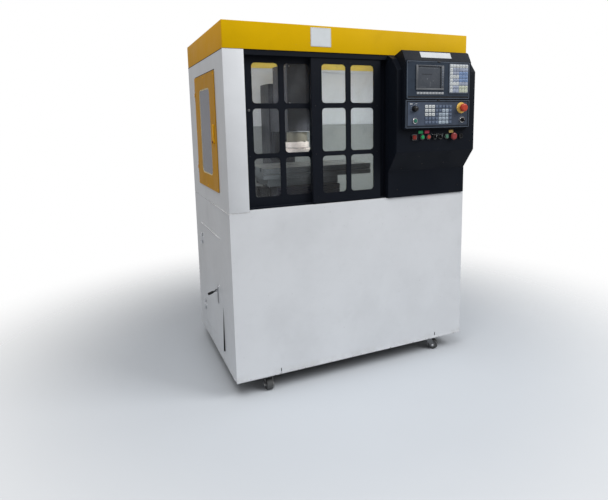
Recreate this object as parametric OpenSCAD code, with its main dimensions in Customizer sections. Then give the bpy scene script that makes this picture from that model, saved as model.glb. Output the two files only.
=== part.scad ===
// Enclosed CNC milling machine on casters: sheet-metal cabinet with two
// by-pass sliding doors, operator console, side doors and a small
// column-type mill inside. Millimetres, +Z up, front faces -Y.

/* [Cabinet] */
// Width of the sheet cabinet
cab_w = 1350; // [1330:1:1380]
// Depth of the sheet cabinet
cab_d = 870; // [866:1:900]
// Height of the cabinet's lower edge above the floor
lift = 80; // [78:1:84]
// Height of the roof band
band_h = 120; // [110:1:130]
// Top of the roof above the floor
top_z = 1780; // [1776:1:1800]
// Height of the seam between the lower and the upper cabinet
seam_z = 918; // [916:1:920]
// Sheet thickness
sheet = 3; // [2:0.5:3]

/* [Front doors] */
// Width of one sliding door
door_w = 384; // [380:1:384]
// Depth of one sliding door
door_t = 20; // [18:1:21]
// Left edge of the left door (inner track)
ldoor_x = 100; // [99:1:104]
// Left edge of the right door (outer track)
rdoor_x = 427; // [426:1:430]
// Width of one window pane opening
pane_w = 130; // [110:1:132]
// Corner radius of the window openings
pane_r = 18; // [8:1:26]

/* [Console] */
// Left side of the operator console
con_x0 = 848; // [846:1:850]
// Right side of the operator console
con_x1 = 1341; // [1340:1:1346]
// Reach of the console face in front of the cabinet
con_reach = 85; // [82:1:86]
// Radius of the round push-button caps
btn_r = 10; // [8:0.5:10]

/* [Machine] */
// Length of the work table
table_l = 644; // [600:2:660]
// Depth of the work table
table_d = 300; // [280:2:300]
// Top of the work table above the floor
table_z = 1095; // [1090:1:1096]
// X position of the spindle axis
spin_x = 501; // [498:1:504]
// Y position of the spindle axis
spin_y = 400; // [390:1:410]
// Radius of the tool bore in the spindle nose
tool_r = 5; // [3:0.5:8]

/* [Casters] */
// Caster wheel radius
wheel_r = 27; // [24:0.5:27]
// Caster wheel width
wheel_w = 34; // [30:1:36]
// Trail of the wheel axle in front of the swivel axis
trail = 22; // [18:1:24]

/* [Hidden] */
$fn = 48;
W = cab_w; D = cab_d; t = sheet;
roof_z = top_z - band_h;          // lower edge of the roof band
sill_z = seam_z + 8;              // top of the lower front panel
door_z0 = sill_z + 4;             // lower edge of the sliding doors
door_z1 = roof_z - 10;            // upper edge of the sliding doors
rdoor_y = 10;                     // outer door, front face
ldoor_y = 40;                     // inner door, front face
win_z = [[979, 1165], [1186, 1398], [1421, 1607]];
con_y = -con_reach;               // console face
box_y = con_y - 25;               // front of the operator box
pan_y = box_y - 6;                // front of the display and key panels
row_z = 1244;                     // height of the push-button row
// caster swivel axes
cast_x = [170, W - 182];
cast_y = [50, D - 50];
cast_a = 50;                      // the front right caster stands swivelled
// folding lever of the lower side door
lev_y = 328; lev_x = -10; lev_z = 453; lev_l = 44; lev_a = 18;
lev_reach = -lev_x + lev_l * cos(lev_a) + 5;
// overall box, for an origin at its bottom centre
stop_front = pan_y - 34;          // front of the emergency stop
gland_rear = D + 24;
cx = (W - lev_reach) / 2;
cy = (stop_front + gland_rear) / 2;
// side door (upper left) and its hinge line
sd_y0 = 176; sd_y1 = 669; sd_z0 = 995; sd_z1 = 1582;
sd_hx = -6; sd_hy = 676; sd_hz = [1090, 1490];
sd_w = [290, 555];                // window opening in Y
sd_p = [224, 1242];               // handle pivot in Y and Z
// lower side door and its hinge line
ld_y0 = 220; ld_y1 = 700; ld_z0 = 150; ld_z1 = 760;
ld_hx = -6; ld_hy = 699; ld_hz = [250, 660];
// spindle head
head_z0 = 1277; head_z1 = 1420; head_w = 75;
saddle_z0 = 905; saddle_z1 = 985;
gap = 0.2;                        // joint between plates of one piece
scr_yx = 570; scr_yz = 878;       // Y screw: X and Z of its axis
scr_xy = 415; scr_xz = 952;       // X screw: Y and Z of its axis
scr_zx = spin_x; scr_zy = 612;    // Z screw: X and Y of its axis
tab_x0 = 572 - table_l / 2; tab_x1 = 572 + table_l / 2;
tab_y0 = 255; tab_y1 = 255 + table_d;

yellow = [0.72, 0.58, 0.06]; white = [0.80, 0.82, 0.84]; black = [0.07, 0.08, 0.11];
slate = [0.20, 0.23, 0.28]; steel = [0.72, 0.73, 0.75]; iron = [0.22, 0.23, 0.25];
clear = [0.75, 0.82, 0.86, 0.35];

// ---------- helpers ----------
module place() translate([-cx, -cy, 0]) children();
module bx(x0, x1, y0, y1, z0, z1) translate([x0, y0, z0]) cube([x1 - x0, y1 - y0, z1 - z0]);
module cyx(x0, x1, y, z, r) translate([x0, y, z]) rotate([0, 90, 0]) cylinder(r = r, h = x1 - x0);
module cyy(x, y0, y1, z, r) translate([x, y0, z]) rotate([-90, 0, 0]) cylinder(r = r, h = y1 - y0);
module cyz(x, y, z0, z1, r) translate([x, y, z0]) cylinder(r = r, h = z1 - z0);
// 2D outline in X,Z drawn through y0..y1
module slab_y(y0, y1) translate([0, y1, 0]) rotate([90, 0, 0]) linear_extrude(y1 - y0) children();
// 2D outline in Y,Z drawn through x0..x1
module slab_x(x0, x1) translate([x0, 0, 0]) rotate([90, 0, 90]) linear_extrude(x1 - x0) children();
// rectangle with round corners
module rrect(a0, a1, b0, b1, r) {
  translate([a0 + r, b0]) square([a1 - a0 - 2 * r, b1 - b0]);
  translate([a0, b0 + r]) square([a1 - a0, b1 - b0 - 2 * r]);
  for (a = [a0 + r, a1 - r], b = [b0 + r, b1 - r]) translate([a, b]) circle(r);
}
// turned shape: outline in radius and distance, axis along -Y from (x, y, z)
module turned_y(x, y, z) translate([x, y, z]) rotate([90, 0, 0]) rotate_extrude() children();

// ---------- base and cabinet ----------
module caster_plate(x, y) {
  bx(x - 36, x + 36, y - 32, y + 32, lift - 6, lift - 0.2);
  cyz(x, y, 66.3, lift - 5, 19);
  cyz(x, y, 57, 70, 6);
  cyz(x, y, 56, 61.7, 9.5);
}
module base_frame() color(iron) place() {
  // front and rear channels, open to the inside
  for (s = [0, 1]) difference() {
    bx(t, W - t, s == 0 ? t : D - 53, s == 0 ? 53 : D - t, lift, lift + 50);
    bx(t - 1, W - t + 1, s == 0 ? 8 : D - 54, s == 0 ? 54 : D - 8, lift + 5, lift + 45);
  }
  // side channels between them
  for (s = [0, 1]) difference() {
    bx(s == 0 ? t : W - 53, s == 0 ? 53 : W - t, 53.2, D - 53.2, lift, lift + 50);
    bx(s == 0 ? 8 : W - 54, s == 0 ? 54 : W - 8, 52, D - 52, lift + 5, lift + 45);
  }
  // cross tubes under the stand
  for (x = [380, 690]) difference() {
    bx(x, x + 50, 53.2, D - 53.2, lift, lift + 50);
    bx(x + 4, x + 46, 52, D - 52, lift + 5, lift + 45);
  }
  for (x = cast_x, y = cast_y) caster_plate(x, y);
}
module lower_cabinet() color(white) place() {
  // folded front sheet with the door ledge along its top
  union() {
    bx(0, W, 0, t, lift, seam_z - 1);
    bx(97, W, 0, t, seam_z - 2, sill_z);
    bx(97, con_x0, 0, 66, sill_z - t, sill_z);
  }
  difference() {
    bx(0, t, t + 0.4, D - t - 0.4, lift, seam_z - 1);
    bx(-1, t + 1, ld_y0, ld_y1, ld_z0, ld_z1);
  }
  bx(W - t, W, t + 0.4, D - t - 0.4, lift, seam_z - 1);
  difference() {
    bx(0, W, D - t, D, lift, seam_z - 1);
    cyy(850, D - t - 1, D + 1, 300, 12.6);
    // louvred vent slots
    for (i = [0:6]) bx(1000, 1240, D - t - 1, D + 1, 600 + 24 * i, 608 + 24 * i);
  }
}
module chip_tray() color([0.62, 0.64, 0.66]) place() {
  difference() {
    union() {
      bx(t, W - t, t, D - t, 838, 841);
      // upturned lip around the bed
      bx(372, 748, 224, 808, 838, 850);
      // rear splash guard
      bx(12, W - 12, 848, 851, 838, 1310);
    }
    bx(375, 745, 227, 805, 836, 852);
  }
}
module upper_cabinet() color(white) place() {
  // left wall of four panels round the side window way
  bx(0, t, t + 0.4, 225, seam_z + 1, roof_z);
  bx(0, t, 660, D - t - 0.4, seam_z + 1, roof_z);
  bx(0, t, 225 + gap, 660 - gap, seam_z + 1, 1025);
  bx(0, t, 225 + gap, 660 - gap, 1555, roof_z);
  bx(0, W, D - t, D, seam_z + 1, roof_z);
  bx(W - t, W, t + 0.4, D - t - 0.4, seam_z + 1, roof_z);
  // front left post with its return
  union() {
    bx(0, 97, 0, t, seam_z + 1, roof_z);
    bx(97 - t, 97, t, 66, sill_z, roof_z);
  }
}
module roof_cap() color(yellow) place() {
  bx(0, W, 0, D, top_z - t, top_z);
  for (y = [0, D - t]) bx(0, W, y, y + t, roof_z, top_z - t - gap);
  for (x = [0, W - t]) bx(x, x + t, t + gap, D - t - gap, roof_z, top_z - t - gap);
}
module door_track_frame() color(black) place() {
  // header channels
  for (y = [4, 33.5, 63]) bx(97, con_x0, y, y + 3, roof_z - 24, roof_z);
  bx(97, con_x0, 4, 66, roof_z - 3, roof_z);
  // floor rails
  for (y = [rdoor_y, ldoor_y]) bx(97, con_x0, y + door_t / 2 - 1.5, y + door_t / 2 + 1.5, sill_z, sill_z + 10);
  // recessed right jamb and the panel behind the console
  bx(814, con_x0 + 3, 36.5, 66, sill_z, roof_z - 1);
  bx(con_x0, con_x0 + 3, 0, 66, sill_z, roof_z);
  bx(con_x0, W, 0, t, sill_z, roof_z);
}

// ---------- console ----------
module console_housing() color(black) place() difference() {
  slab_x(con_x0, con_x1) polygon([[0, sill_z], [-8, sill_z], [-8, 1066], [con_y, 1169],
    [con_y, 1580], [-40, 1638], [-12, 1652], [0, 1654]]);
  slab_x(con_x0 + t, con_x1 - t) polygon([[1, sill_z + t], [-8 + t, sill_z + t], [-8 + t, 1065],
    [con_y + t, 1168], [con_y + t, 1579], [-38.4, 1635.4], [-11.3, 1649], [1, 1651]]);
  for (x = [1002, 1041, 1081, 1117, 1157]) cyy(x, con_y - 1, con_y + t + 1, row_z, btn_r + 0.4);
  cyy(1196, con_y - 1, con_y + t + 1, row_z, 8.4);
  bx(952 - 10.6, 952 + 10.6, con_y - 1, con_y + t + 1, row_z - 10.6, row_z + 10.6);
}
module operator_box() color([0.09, 0.10, 0.13]) place() difference() {
  slab_x(878, 1290) polygon([[con_y, 1285], [box_y, 1285], [box_y, 1625], [-86, 1671], [-76, 1676.5],
    [-36, 1662.5], [-14, 1657], [-14, 1652.7], [-40, 1638.7], [con_y, 1580.7]]);
  slab_x(881, 1287) polygon([[con_y + 5, 1288], [box_y + 3, 1288], [box_y + 3, 1624.3], [-84, 1668.7],
    [-75.7, 1673.2], [-40, 1660.6], [-40, 1632], [con_y + 5, 1577]]);
  bx(898, 1272, box_y - 1, box_y + 4, 1304, 1424);
  bx(898, 1272, box_y - 1, box_y + 4, 1448, 1612);
}
module display_unit() color(slate) place() difference() {
  union() {
    slab_y(pan_y, box_y) rrect(886, 1276, 1437, 1622, 5);
    slab_y(pan_y - 3, pan_y) rrect(941, 1110, 1479, 1604, 3);
  }
  bx(951, 1092, pan_y - 4, pan_y + 3.5, 1489, 1597);
}
module display_screen() color([0.10, 0.13, 0.16]) place()
  bx(951.2, 1091.8, pan_y + 1, pan_y + 3.5, 1489.2, 1596.8);
module key_grid(x0, x1, nx, z0, z1, nz, kx, kz)
  for (i = [0:nx - 1], j = [0:nz - 1])
    translate([x0 + (x1 - x0) * (i + 0.5) / nx - kx / 2, pan_y - 2.2, z0 + (z1 - z0) * (j + 0.5) / nz - kz / 2])
      cube([kx, 2.2, kz]);
module membrane_keys() color([0.62, 0.68, 0.76]) place() {
  key_grid(1148, 1264, 6, 1469, 1611, 8, 15.5, 13.5);
  key_grid(943, 1111, 9, 1458, 1471, 1, 14.5, 10);
  key_grid(994, 1166, 8, 1309, 1408, 5, 17.5, 15.5);
}
module operator_panel() color(slate) place() difference() {
  slab_y(pan_y, box_y) rrect(880, 1279, 1291, 1431, 5);
  cyy(933, pan_y - 1, box_y + 1, 1387, 3.05);
  cyy(936, pan_y - 1, box_y + 1, 1327, 9.9);
  cyy(1224, pan_y - 1, box_y + 1, 1391, 9.4);
  cyy(1233, pan_y - 1, box_y + 1, 1329, 3.05);
}
// ring around a control, standing on a face at y
module collar(x, y, z, ro, ri, h) turned_y(x, y, z)
  polygon([[ri, 0], [ro, 0], [ro, h - 1.5], [ro - 1.5, h], [ri, h]]);
module control_collars() color([0.75, 0.76, 0.78]) place() {
  for (x = [1002, 1041, 1081, 1117, 1157]) collar(x, con_y, row_z, 14.5, btn_r + 0.4, 6);
  collar(1196, con_y, row_z, 14.5, 8.4, 6);
  difference() {
    slab_y(con_y - 6, con_y) rrect(952 - 15, 952 + 15, row_z - 15, row_z + 15, 3);
    bx(952 - 10.6, 952 + 10.6, con_y - 7, con_y + 1, row_z - 10.6, row_z + 10.6);
  }
  // blanked round socket at the right end of the row
  difference() {
    turned_y(1250, con_y, row_z) polygon([[0, 0], [14, 0], [14, 6.5], [12.5, 8], [0, 8]]);
    cyy(1250, con_y - 9, con_y - 4, row_z, 8);
  }
  collar(936, pan_y, 1327, 14.5, 9.9, 6);
  collar(1224, pan_y, 1391, 28, 9.4, 5);
  collar(1233, pan_y, 1329, 15, 11, 3);
}
module label_plates() color([0.90, 0.90, 0.90]) place() {
  bx(424, 530, -1.5, 0, 1684, 1771);
  translate([979, box_y, 1625]) rotate([atan2(46, -86 - box_y), 0, 0]) translate([0, 17, 0]) cube([189, 33, 1.2]);
  for (x = [994, 1033, 1188]) bx(x - 14, x + 14, con_y - 1, con_y, 1262, 1277);
}

// ---------- hinges of the two side doors ----------
module hinge_fixed(hx, hy, zc) {
  bx(-2, 0, hy + 6, hy + 34, zc - 30, zc + 30);
  for (z = [[zc - 30, zc - 10.4], [zc + 10.4, zc + 30]]) {
    cyz(hx, hy, z[0], z[1], 5);
    bx(hx - 1, 0, hy + 2.5, hy + 8, z[0], z[1]);
  }
  cyz(hx, hy, zc - 32, zc + 32, 2.5);
}
module door_hinges() color(steel) place() {
  for (z = sd_hz) hinge_fixed(sd_hx, sd_hy, z);
  for (z = ld_hz) hinge_fixed(ld_hx, ld_hy, z);
}
module knuckle_bore(hx, hy, zc) cyz(hx, hy, zc - 11, zc + 11, 2.55);

// ---------- sliding doors ----------
module door_shell(x0, y0, px) difference() {
  bx(x0, x0 + door_w, y0, y0 + door_t, door_z0, door_z1);
  bx(x0 + 14, x0 + door_w - 14, y0 + 3, y0 + door_t + 1, door_z0 + 16, door_z1 - 14);
  slab_y(y0 - 1, y0 + 4) for (p = px, z = win_z) rrect(x0 + p, x0 + p + pane_w, z[0], z[1], pane_r);
  bx(x0 - 1, x0 + door_w + 1, y0 + door_t / 2 - 2.5, y0 + door_t / 2 + 2.5, door_z0 - 1, sill_z + 10.5);
}
module door_pane(x0, y0) bx(x0 + 14.2, x0 + door_w - 14.2, y0 + 3, y0 + 7, door_z0 + 16.2, door_z1 - 14.2);
module left_door_frame() color(black) place() door_shell(ldoor_x, ldoor_y, [41, 199]);
module left_door_window() color(clear) place() door_pane(ldoor_x, ldoor_y);
module left_door_pull() color(steel) place() turned_y(ldoor_x + 23, ldoor_y, 1389)
  polygon([[0, 0], [6, 0], [6, 1.5], [3.6, 2.6], [4.2, 5], [3.2, 6], [0, 6]]);
module right_door_frame() color(black) place() door_shell(rdoor_x, rdoor_y, [55, 213]);
module right_door_window() color(clear) place() door_pane(rdoor_x, rdoor_y);

// ---------- side window door ----------
module side_door_frame() color(yellow) place() difference() {
  union() {
    slab_x(-5, -1) rrect(sd_y0, sd_y1, sd_z0, sd_z1, 8);
    for (z = sd_hz) {
      cyz(sd_hx, sd_hy, z - 10, z + 10, 5);
      bx(sd_hx - 2, -1.2, sd_y1 - 8, sd_hy, z - 10, z + 10);
    }
  }
  slab_x(-20, 5) rrect(sd_w[0], sd_w[1], 1068, 1511, 34);
  bx(-3, 5, sd_w[0] - 10, sd_w[1] + 10, 1058, 1521);
  cyx(-20, 5, sd_p[0], sd_p[1], 6.05);
  for (z = sd_hz) knuckle_bore(sd_hx, sd_hy, z);
}
module side_door_window() color(clear) place() bx(-3, -1.2, sd_w[0] - 9.8, sd_w[1] + 9.8, 1058.2, 1520.8);
module side_door_handle() color([0.66, 0.50, 0.10]) place() {
  cyx(-8, -1.2, sd_p[0], sd_p[1], 6);
  slab_x(-11, -5.4) rrect(sd_p[0] - 9, sd_p[0] + 9, sd_p[1] - 10, sd_p[1] + 86, 8.5);
}

// ---------- lower side door ----------
module lower_door() color(white) place() difference() {
  union() {
    difference() {
      bx(0, 18, ld_y0 + 2.5, ld_y1 - 2.5, ld_z0 + 2.5, ld_z1 - 2.5);
      bx(t, 19, ld_y0 + 5, ld_y1 - 5, ld_z0 + 5, ld_z1 - 5);
    }
    for (z = ld_hz) {
      cyz(ld_hx, ld_hy, z - 10, z + 10, 5);
      bx(ld_hx - 1, 0, ld_hy - 22, ld_hy - 2.5, z - 10, z + 10);
      bx(-2, 0, ld_hy - 34, ld_hy - 6, z - 10, z + 10);
    }
  }
  for (z = ld_hz) knuckle_bore(ld_hx, ld_hy, z);
}
module lower_latch_plate() color(steel) place() {
  difference() {
    slab_x(-3, 0) rrect(lev_y - 11, lev_y + 11, 380, 480, 8);
    bx(-4, -1.2, lev_y - 5, lev_y + 5, 388, lev_z - 8);
  }
  // two ears that carry the lever's pin
  for (s = [-1, 1]) bx(lev_x - 4, -2, lev_y + s * 8 - 1.5, lev_y + s * 8 + 1.5, lev_z - 5, lev_z + 5);
  cyy(lev_x, lev_y - 9.5, lev_y + 9.5, lev_z, 2.5);
}
module lower_latch_lever() color(black) place()
  translate([lev_x, lev_y, lev_z]) rotate([0, -lev_a, 0]) difference() {
    union() {
      translate([-lev_l, -5.8, -4.6]) cube([lev_l, 11.6, 9.2]);
      translate([0, -5.8, 0]) rotate([-90, 0, 0]) cylinder(r = 5, h = 11.6);
      translate([-lev_l, -5.8, 0]) rotate([-90, 0, 0]) cylinder(r = 5, h = 11.6);
    }
    translate([0, -7, 0]) rotate([-90, 0, 0]) cylinder(r = 2.55, h = 14);
  }

// ---------- casters ----------
module caster_fork(x, y, a) color([0.55, 0.56, 0.58]) place() translate([x, y, 0]) rotate([0, 0, a]) {
  difference() {
    union() {
      bx(-wheel_w / 2 - 4, wheel_w / 2 + 4, -18, 18, 62, 66);
      for (s = [-1, 1]) slab_x(s > 0 ? wheel_w / 2 + 1 : -wheel_w / 2 - 4, s > 0 ? wheel_w / 2 + 4 : -wheel_w / 2 - 1)
        polygon([[18, 66], [18, 58], [-trail + 9, wheel_r - 8], [-trail - 9, wheel_r - 8], [-trail - 9, wheel_r + 6], [-18, 62], [-18, 66]]);
    }
    cyz(0, 0, 60, 68, 6.05);
  }
  cyx(-wheel_w / 2 - 6, wheel_w / 2 + 6, -trail, wheel_r, 4);
}
module caster_wheel(x, y, a) color([0.25, 0.26, 0.28]) place() translate([x, y, 0]) rotate([0, 0, a])
  translate([0, -trail, wheel_r]) rotate([0, 90, 0]) rotate_extrude()
    polygon([[4.05, -wheel_w / 2 - 0.6], [9, -wheel_w / 2 - 0.6], [9, -wheel_w / 2 + 3], [wheel_r - 9, -wheel_w / 2 + 3], [wheel_r - 9, -wheel_w / 2],
      [wheel_r - 3, -wheel_w / 2], [wheel_r, -wheel_w / 2 + 3], [wheel_r, wheel_w / 2 - 3], [wheel_r - 3, wheel_w / 2],
      [wheel_r - 9, wheel_w / 2], [wheel_r - 9, wheel_w / 2 - 3], [9, wheel_w / 2 - 3], [9, wheel_w / 2 + 0.6], [4.05, wheel_w / 2 + 0.6]]);
module caster_fork_fl() caster_fork(cast_x[0], cast_y[0], 0);
module caster_fork_fr() caster_fork(cast_x[1], cast_y[0], cast_a);
module caster_fork_rl() caster_fork(cast_x[0], cast_y[1], 0);
module caster_fork_rr() caster_fork(cast_x[1], cast_y[1], 0);
module caster_wheel_fl() caster_wheel(cast_x[0], cast_y[0], 0);
module caster_wheel_fr() caster_wheel(cast_x[1], cast_y[0], cast_a);
module caster_wheel_rl() caster_wheel(cast_x[0], cast_y[1], 0);
module caster_wheel_rr() caster_wheel(cast_x[1], cast_y[1], 0);

// ---------- mill ----------
module machine_stand() color(iron) place() {
  for (x = [380, 690], y = [240, 750]) bx(x, x + 50, y, y + 50, lift + 50, 812);
  bx(380, 740, 230, 802, 810, 820);
  for (y = [240, 750]) bx(380, 740, y + 10, y + 40, 300, 340);
  for (x = [380, 690]) bx(x + 10, x + 40, 240, 800, 300, 340);
}
module machine_bed() color(iron) place() difference() {
  union() {
    bx(380, 740, 230, 802, 820, 900);
    for (x = [420, 650]) bx(x, x + 40, 232, 640, 899, 920);
  }
  bx(538, 602, 262, 600, 850, 930);
  cyy(scr_yx, 229, 620, scr_yz, 10.05);
}
module column() color(iron) place() {
  // front plate, side plates, top and foot
  bx(spin_x - 80, spin_x + 80, 645, 670, 900, 1560);
  for (x = [spin_x - 80, spin_x + 60]) bx(x, x + 20, 670 + gap, 800, 900, 1560);
  for (z = [[900, 930], [1540, 1560]]) bx(spin_x - 60 + gap, spin_x + 60 - gap, 670 + gap, 800, z[0], z[1]);
  for (x = [spin_x - 101, spin_x + 80 + gap]) bx(x, x + 21 - gap, 645, 800, 900, 925);
  // ways
  for (x = [spin_x - 65, spin_x + 40]) bx(x, x + 25, 630, 645 - gap, 1110, 1552);
  // screw bearings
  for (z = [1110, 1545]) difference() {
    bx(scr_zx - 24, scr_zx + 24, scr_zy - 20, 645 - gap, z, z + 15);
    cyz(scr_zx, scr_zy, z - 1, z + 16, 8.05);
  }
}
module axis_motors() color([0.14, 0.15, 0.17]) place() {
  // Y motor on the front of the bed
  bx(scr_yx - 25, scr_yx + 25, 150, 230, scr_yz - 26, scr_yz + 20);
  // Z motor on the upper screw bearing
  bx(scr_zx - 28, scr_zx + 28, scr_zy - 28, scr_zy + 28, 1560, 1640);
}
module electrics_box() color([0.70, 0.72, 0.74]) place() {
  difference() {
    bx(900, 1320, 640, D - t, 200, 580);
    bx(903, 1317, 639, D - t - 3, 203, 577);
  }
  // lift-off cover with its turned-in edge
  bx(898, 1322, 634, 639.8, 198, 582);
}
module power_gland() color(black) place() difference() {
  union() {
    cyy(850, D - t - 6, D + 24, 300, 12.5);
    cyy(850, D, D + 6, 300, 19);
    translate([850, D + 16, 300]) rotate([-90, 0, 0]) cylinder(r = 16, h = 8, $fn = 6);
  }
  cyy(850, D - t - 7, D + 25, 300, 8);
}
module saddle() color(iron) place() difference() {
  union() {
    bx(335, 712, 290, 540, saddle_z0, saddle_z1);
    for (y = [320, 480]) bx(335, 712, y, y + 30, saddle_z1 - 1, saddle_z1 + 15);
    bx(scr_yx - 25, scr_yx + 25, 385, 445, 856, saddle_z0 + 1);
  }
  for (x = [420, 650]) bx(x - 0.5, x + 40.5, 280, 550, saddle_z0 - 1, 920.4);
  bx(343, 700, 385, 445, 922, saddle_z1 + 20);
  cyy(scr_yx, 380, 450, scr_yz, 10.05);
  cyx(334, 713, scr_xy, scr_xz, 8.05);
}
module x_motor() color([0.14, 0.15, 0.17]) place() {
  bx(255, 335, scr_xy - 28, scr_xy + 28, scr_xz - 28, scr_xz + 28);
}
module t_slot(y) {
  bx(tab_x0 - 1, tab_x1 + 1, y - 6, y + 6, table_z - 20, table_z + 1);
  bx(tab_x0 - 1, tab_x1 + 1, y - 10, y + 10, table_z - 20, table_z - 12);
}
module work_table() color([0.45, 0.46, 0.47]) place() difference() {
  union() {
    bx(tab_x0, tab_x1, tab_y0, tab_y1, table_z - 60, table_z);
    // carriage with the way grooves, and the screw nut
    bx(tab_x0 + 40, 706, 300, 530, 990, table_z - 60 - gap);
    bx(scr_yx - 25, scr_yx + 25, scr_xy - 22, scr_xy + 22, 930, 990 - gap);
  }
  for (y = [305, 405, 505]) t_slot(y);
  // groove for stops along the front edge
  bx(tab_x0 - 1, tab_x1 + 1, tab_y0 - 1, tab_y0 + 7, table_z - 36, table_z - 26);
  for (y = [320, 480]) bx(tab_x0 + 30, tab_x1 - 30, y - 0.5, y + 30.5, 985, 1000.4);
  cyx(scr_yx - 30, scr_yx + 30, scr_xy, scr_xz, 8.05);
}
module spindle_head() color(iron) place() difference() {
  union() {
    bx(spin_x - head_w, spin_x + head_w, 340, 640, head_z0, head_z1);
    // spindle cartridge with a flange of two steps at its lower end
    cyz(spin_x, spin_y, head_z0 - 56, head_z0 - gap, 58);
    cyz(spin_x, spin_y, head_z0 - 85, head_z0 - 55, 66);
    cyz(spin_x, spin_y, head_z0 - 90, head_z0 - 84, 61);
    cyz(spin_x, spin_y, head_z0 - 117, head_z0 - 89, 71.5);
  }
  // channel for the screw, its bearings and the motor, with the nut left inside
  bx(spin_x - 34, spin_x + 34, scr_zy - 32, 641, head_z0 - 1, head_z0 + 70);
  bx(spin_x - 34, spin_x + 34, scr_zy - 32, 641, head_z0 + 120, head_z1 + 1);
  cyz(scr_zx, scr_zy, head_z0 - 1, head_z1 + 1, 8.05);
  for (x = [spin_x - 65, spin_x + 40]) bx(x - 0.5, x + 25.5, 629.6, 641, head_z0 - 1, head_z1 + 1);
  cyz(spin_x, spin_y, head_z0 - 118, head_z1 + 1, 30.05);
}
module head_cover() color([0.24, 0.25, 0.28]) place() difference() {
  bx(spin_x - head_w, spin_x + head_w, 340, 572, head_z1, 1645);
  bx(spin_x - head_w + 3, spin_x + head_w - 3, 343, 569, head_z1 - 1, 1642);
}
module spindle() color(steel) place() difference() {
  union() {
    cyz(spin_x, spin_y, head_z0 - 118, head_z1 + 60, 30);
    translate([spin_x, spin_y, head_z0 - 129]) cylinder(r = 22, h = 12, $fn = 6);
  }
  cyz(spin_x, spin_y, head_z0 - 130, head_z0 - 77, tool_r);
}
module x_screw() color(steel) place() cyx(336, 711, scr_xy, scr_xz, 8);
module y_screw() color(steel) place() cyy(scr_yx, 231, 618, scr_yz, 10);
module z_screw() color(steel) place() cyz(scr_zx, scr_zy, 1111, 1559, 8);

// ---------- controls ----------
// round cap that slides in its collar, front edge eased
module push_cap(x, y, z, r, out) turned_y(x, y + 14, z)
  polygon([[0, 0], [r, 0], [r, 14 + out - 2], [r - 2, 14 + out], [0, 14 + out]]);
module mushroom(x, y, z, stem, cap, gap, h) turned_y(x, y + 12, z)
  polygon([[0, 0], [stem, 0], [stem, 12 + gap], [cap - 3, 12 + gap], [cap, 12 + gap + 3], [cap, 12 + gap + h - 5],
    [cap - 2, 12 + gap + h - 2], [cap - 6, 12 + gap + h], [0, 12 + gap + h]]);
module selector(x, y, z) {
  push_cap(x, y, z, btn_r, 9);
  slab_y(y - 19, y - 8) rrect(x - 4, x + 4, z - 9.5, z + 9.5, 3.5);
}
module panel_knob(x, y, z, r, h) {
  turned_y(x, y - 0.5, z) polygon([[0, 0], [r, 0], [r, h * 0.4], [r - 2.5, h - 1.5], [r - 4, h], [0, h]]);
  cyy(x, y - 1, y + 8, z, 3);
}
module estop_button() color([0.75, 0.08, 0.08]) place() mushroom(1224, pan_y, 1391, 9, 20, 14, 20);
module mode_knob() color(black) place() panel_knob(933, pan_y, 1387, 15, 19);
module start_button() color([0.10, 0.55, 0.20]) place() push_cap(936, pan_y, 1327, 9.5, 9);
module override_knob() color(black) place() panel_knob(1233, pan_y - 3, 1329, 10, 17);
module red_square_button() color([0.80, 0.10, 0.10]) place()
  slab_y(con_y - 10, con_y + 14) rrect(952 - 10.2, 952 + 10.2, row_z - 10.2, row_z + 10.2, 1.5);
module green_button() color([0.10, 0.60, 0.30]) place() push_cap(1002, con_y, row_z, btn_r, 10);
module red_button() color([0.85, 0.15, 0.10]) place() push_cap(1041, con_y, row_z, btn_r, 10);
module selector_a() color(black) place() selector(1081, con_y, row_z);
module selector_b() color(black) place() selector(1117, con_y, row_z);
module green_button_b() color([0.10, 0.60, 0.30]) place() push_cap(1157, con_y, row_z, btn_r, 10);
module stop_mushroom() color([0.78, 0.08, 0.08]) place() mushroom(1196, con_y, row_z, 8, 18.5, 11, 11);

base_frame();
lower_cabinet();
chip_tray();
upper_cabinet();
roof_cap();
door_track_frame();
console_housing();
operator_box();
display_unit();
display_screen();
membrane_keys();
operator_panel();
control_collars();
label_plates();
door_hinges();
machine_stand();
machine_bed();
column();
axis_motors();
electrics_box();
power_gland();
left_door_frame();
left_door_window();
left_door_pull();
right_door_frame();
right_door_window();
side_door_frame();
side_door_window();
side_door_handle();
lower_door();
lower_latch_plate();
lower_latch_lever();
caster_fork_fl();
caster_fork_fr();
caster_fork_rl();
caster_fork_rr();
caster_wheel_fl();
caster_wheel_fr();
caster_wheel_rl();
caster_wheel_rr();
saddle();
x_motor();
work_table();
spindle_head();
head_cover();
spindle();
x_screw();
y_screw();
z_screw();
estop_button();
mode_knob();
start_button();
override_knob();
red_square_button();
green_button();
red_button();
selector_a();
selector_b();
green_button_b();
stop_mushroom();
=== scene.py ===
import math
import random

import bmesh
import bpy
from mathutils import Matrix, Vector


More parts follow.
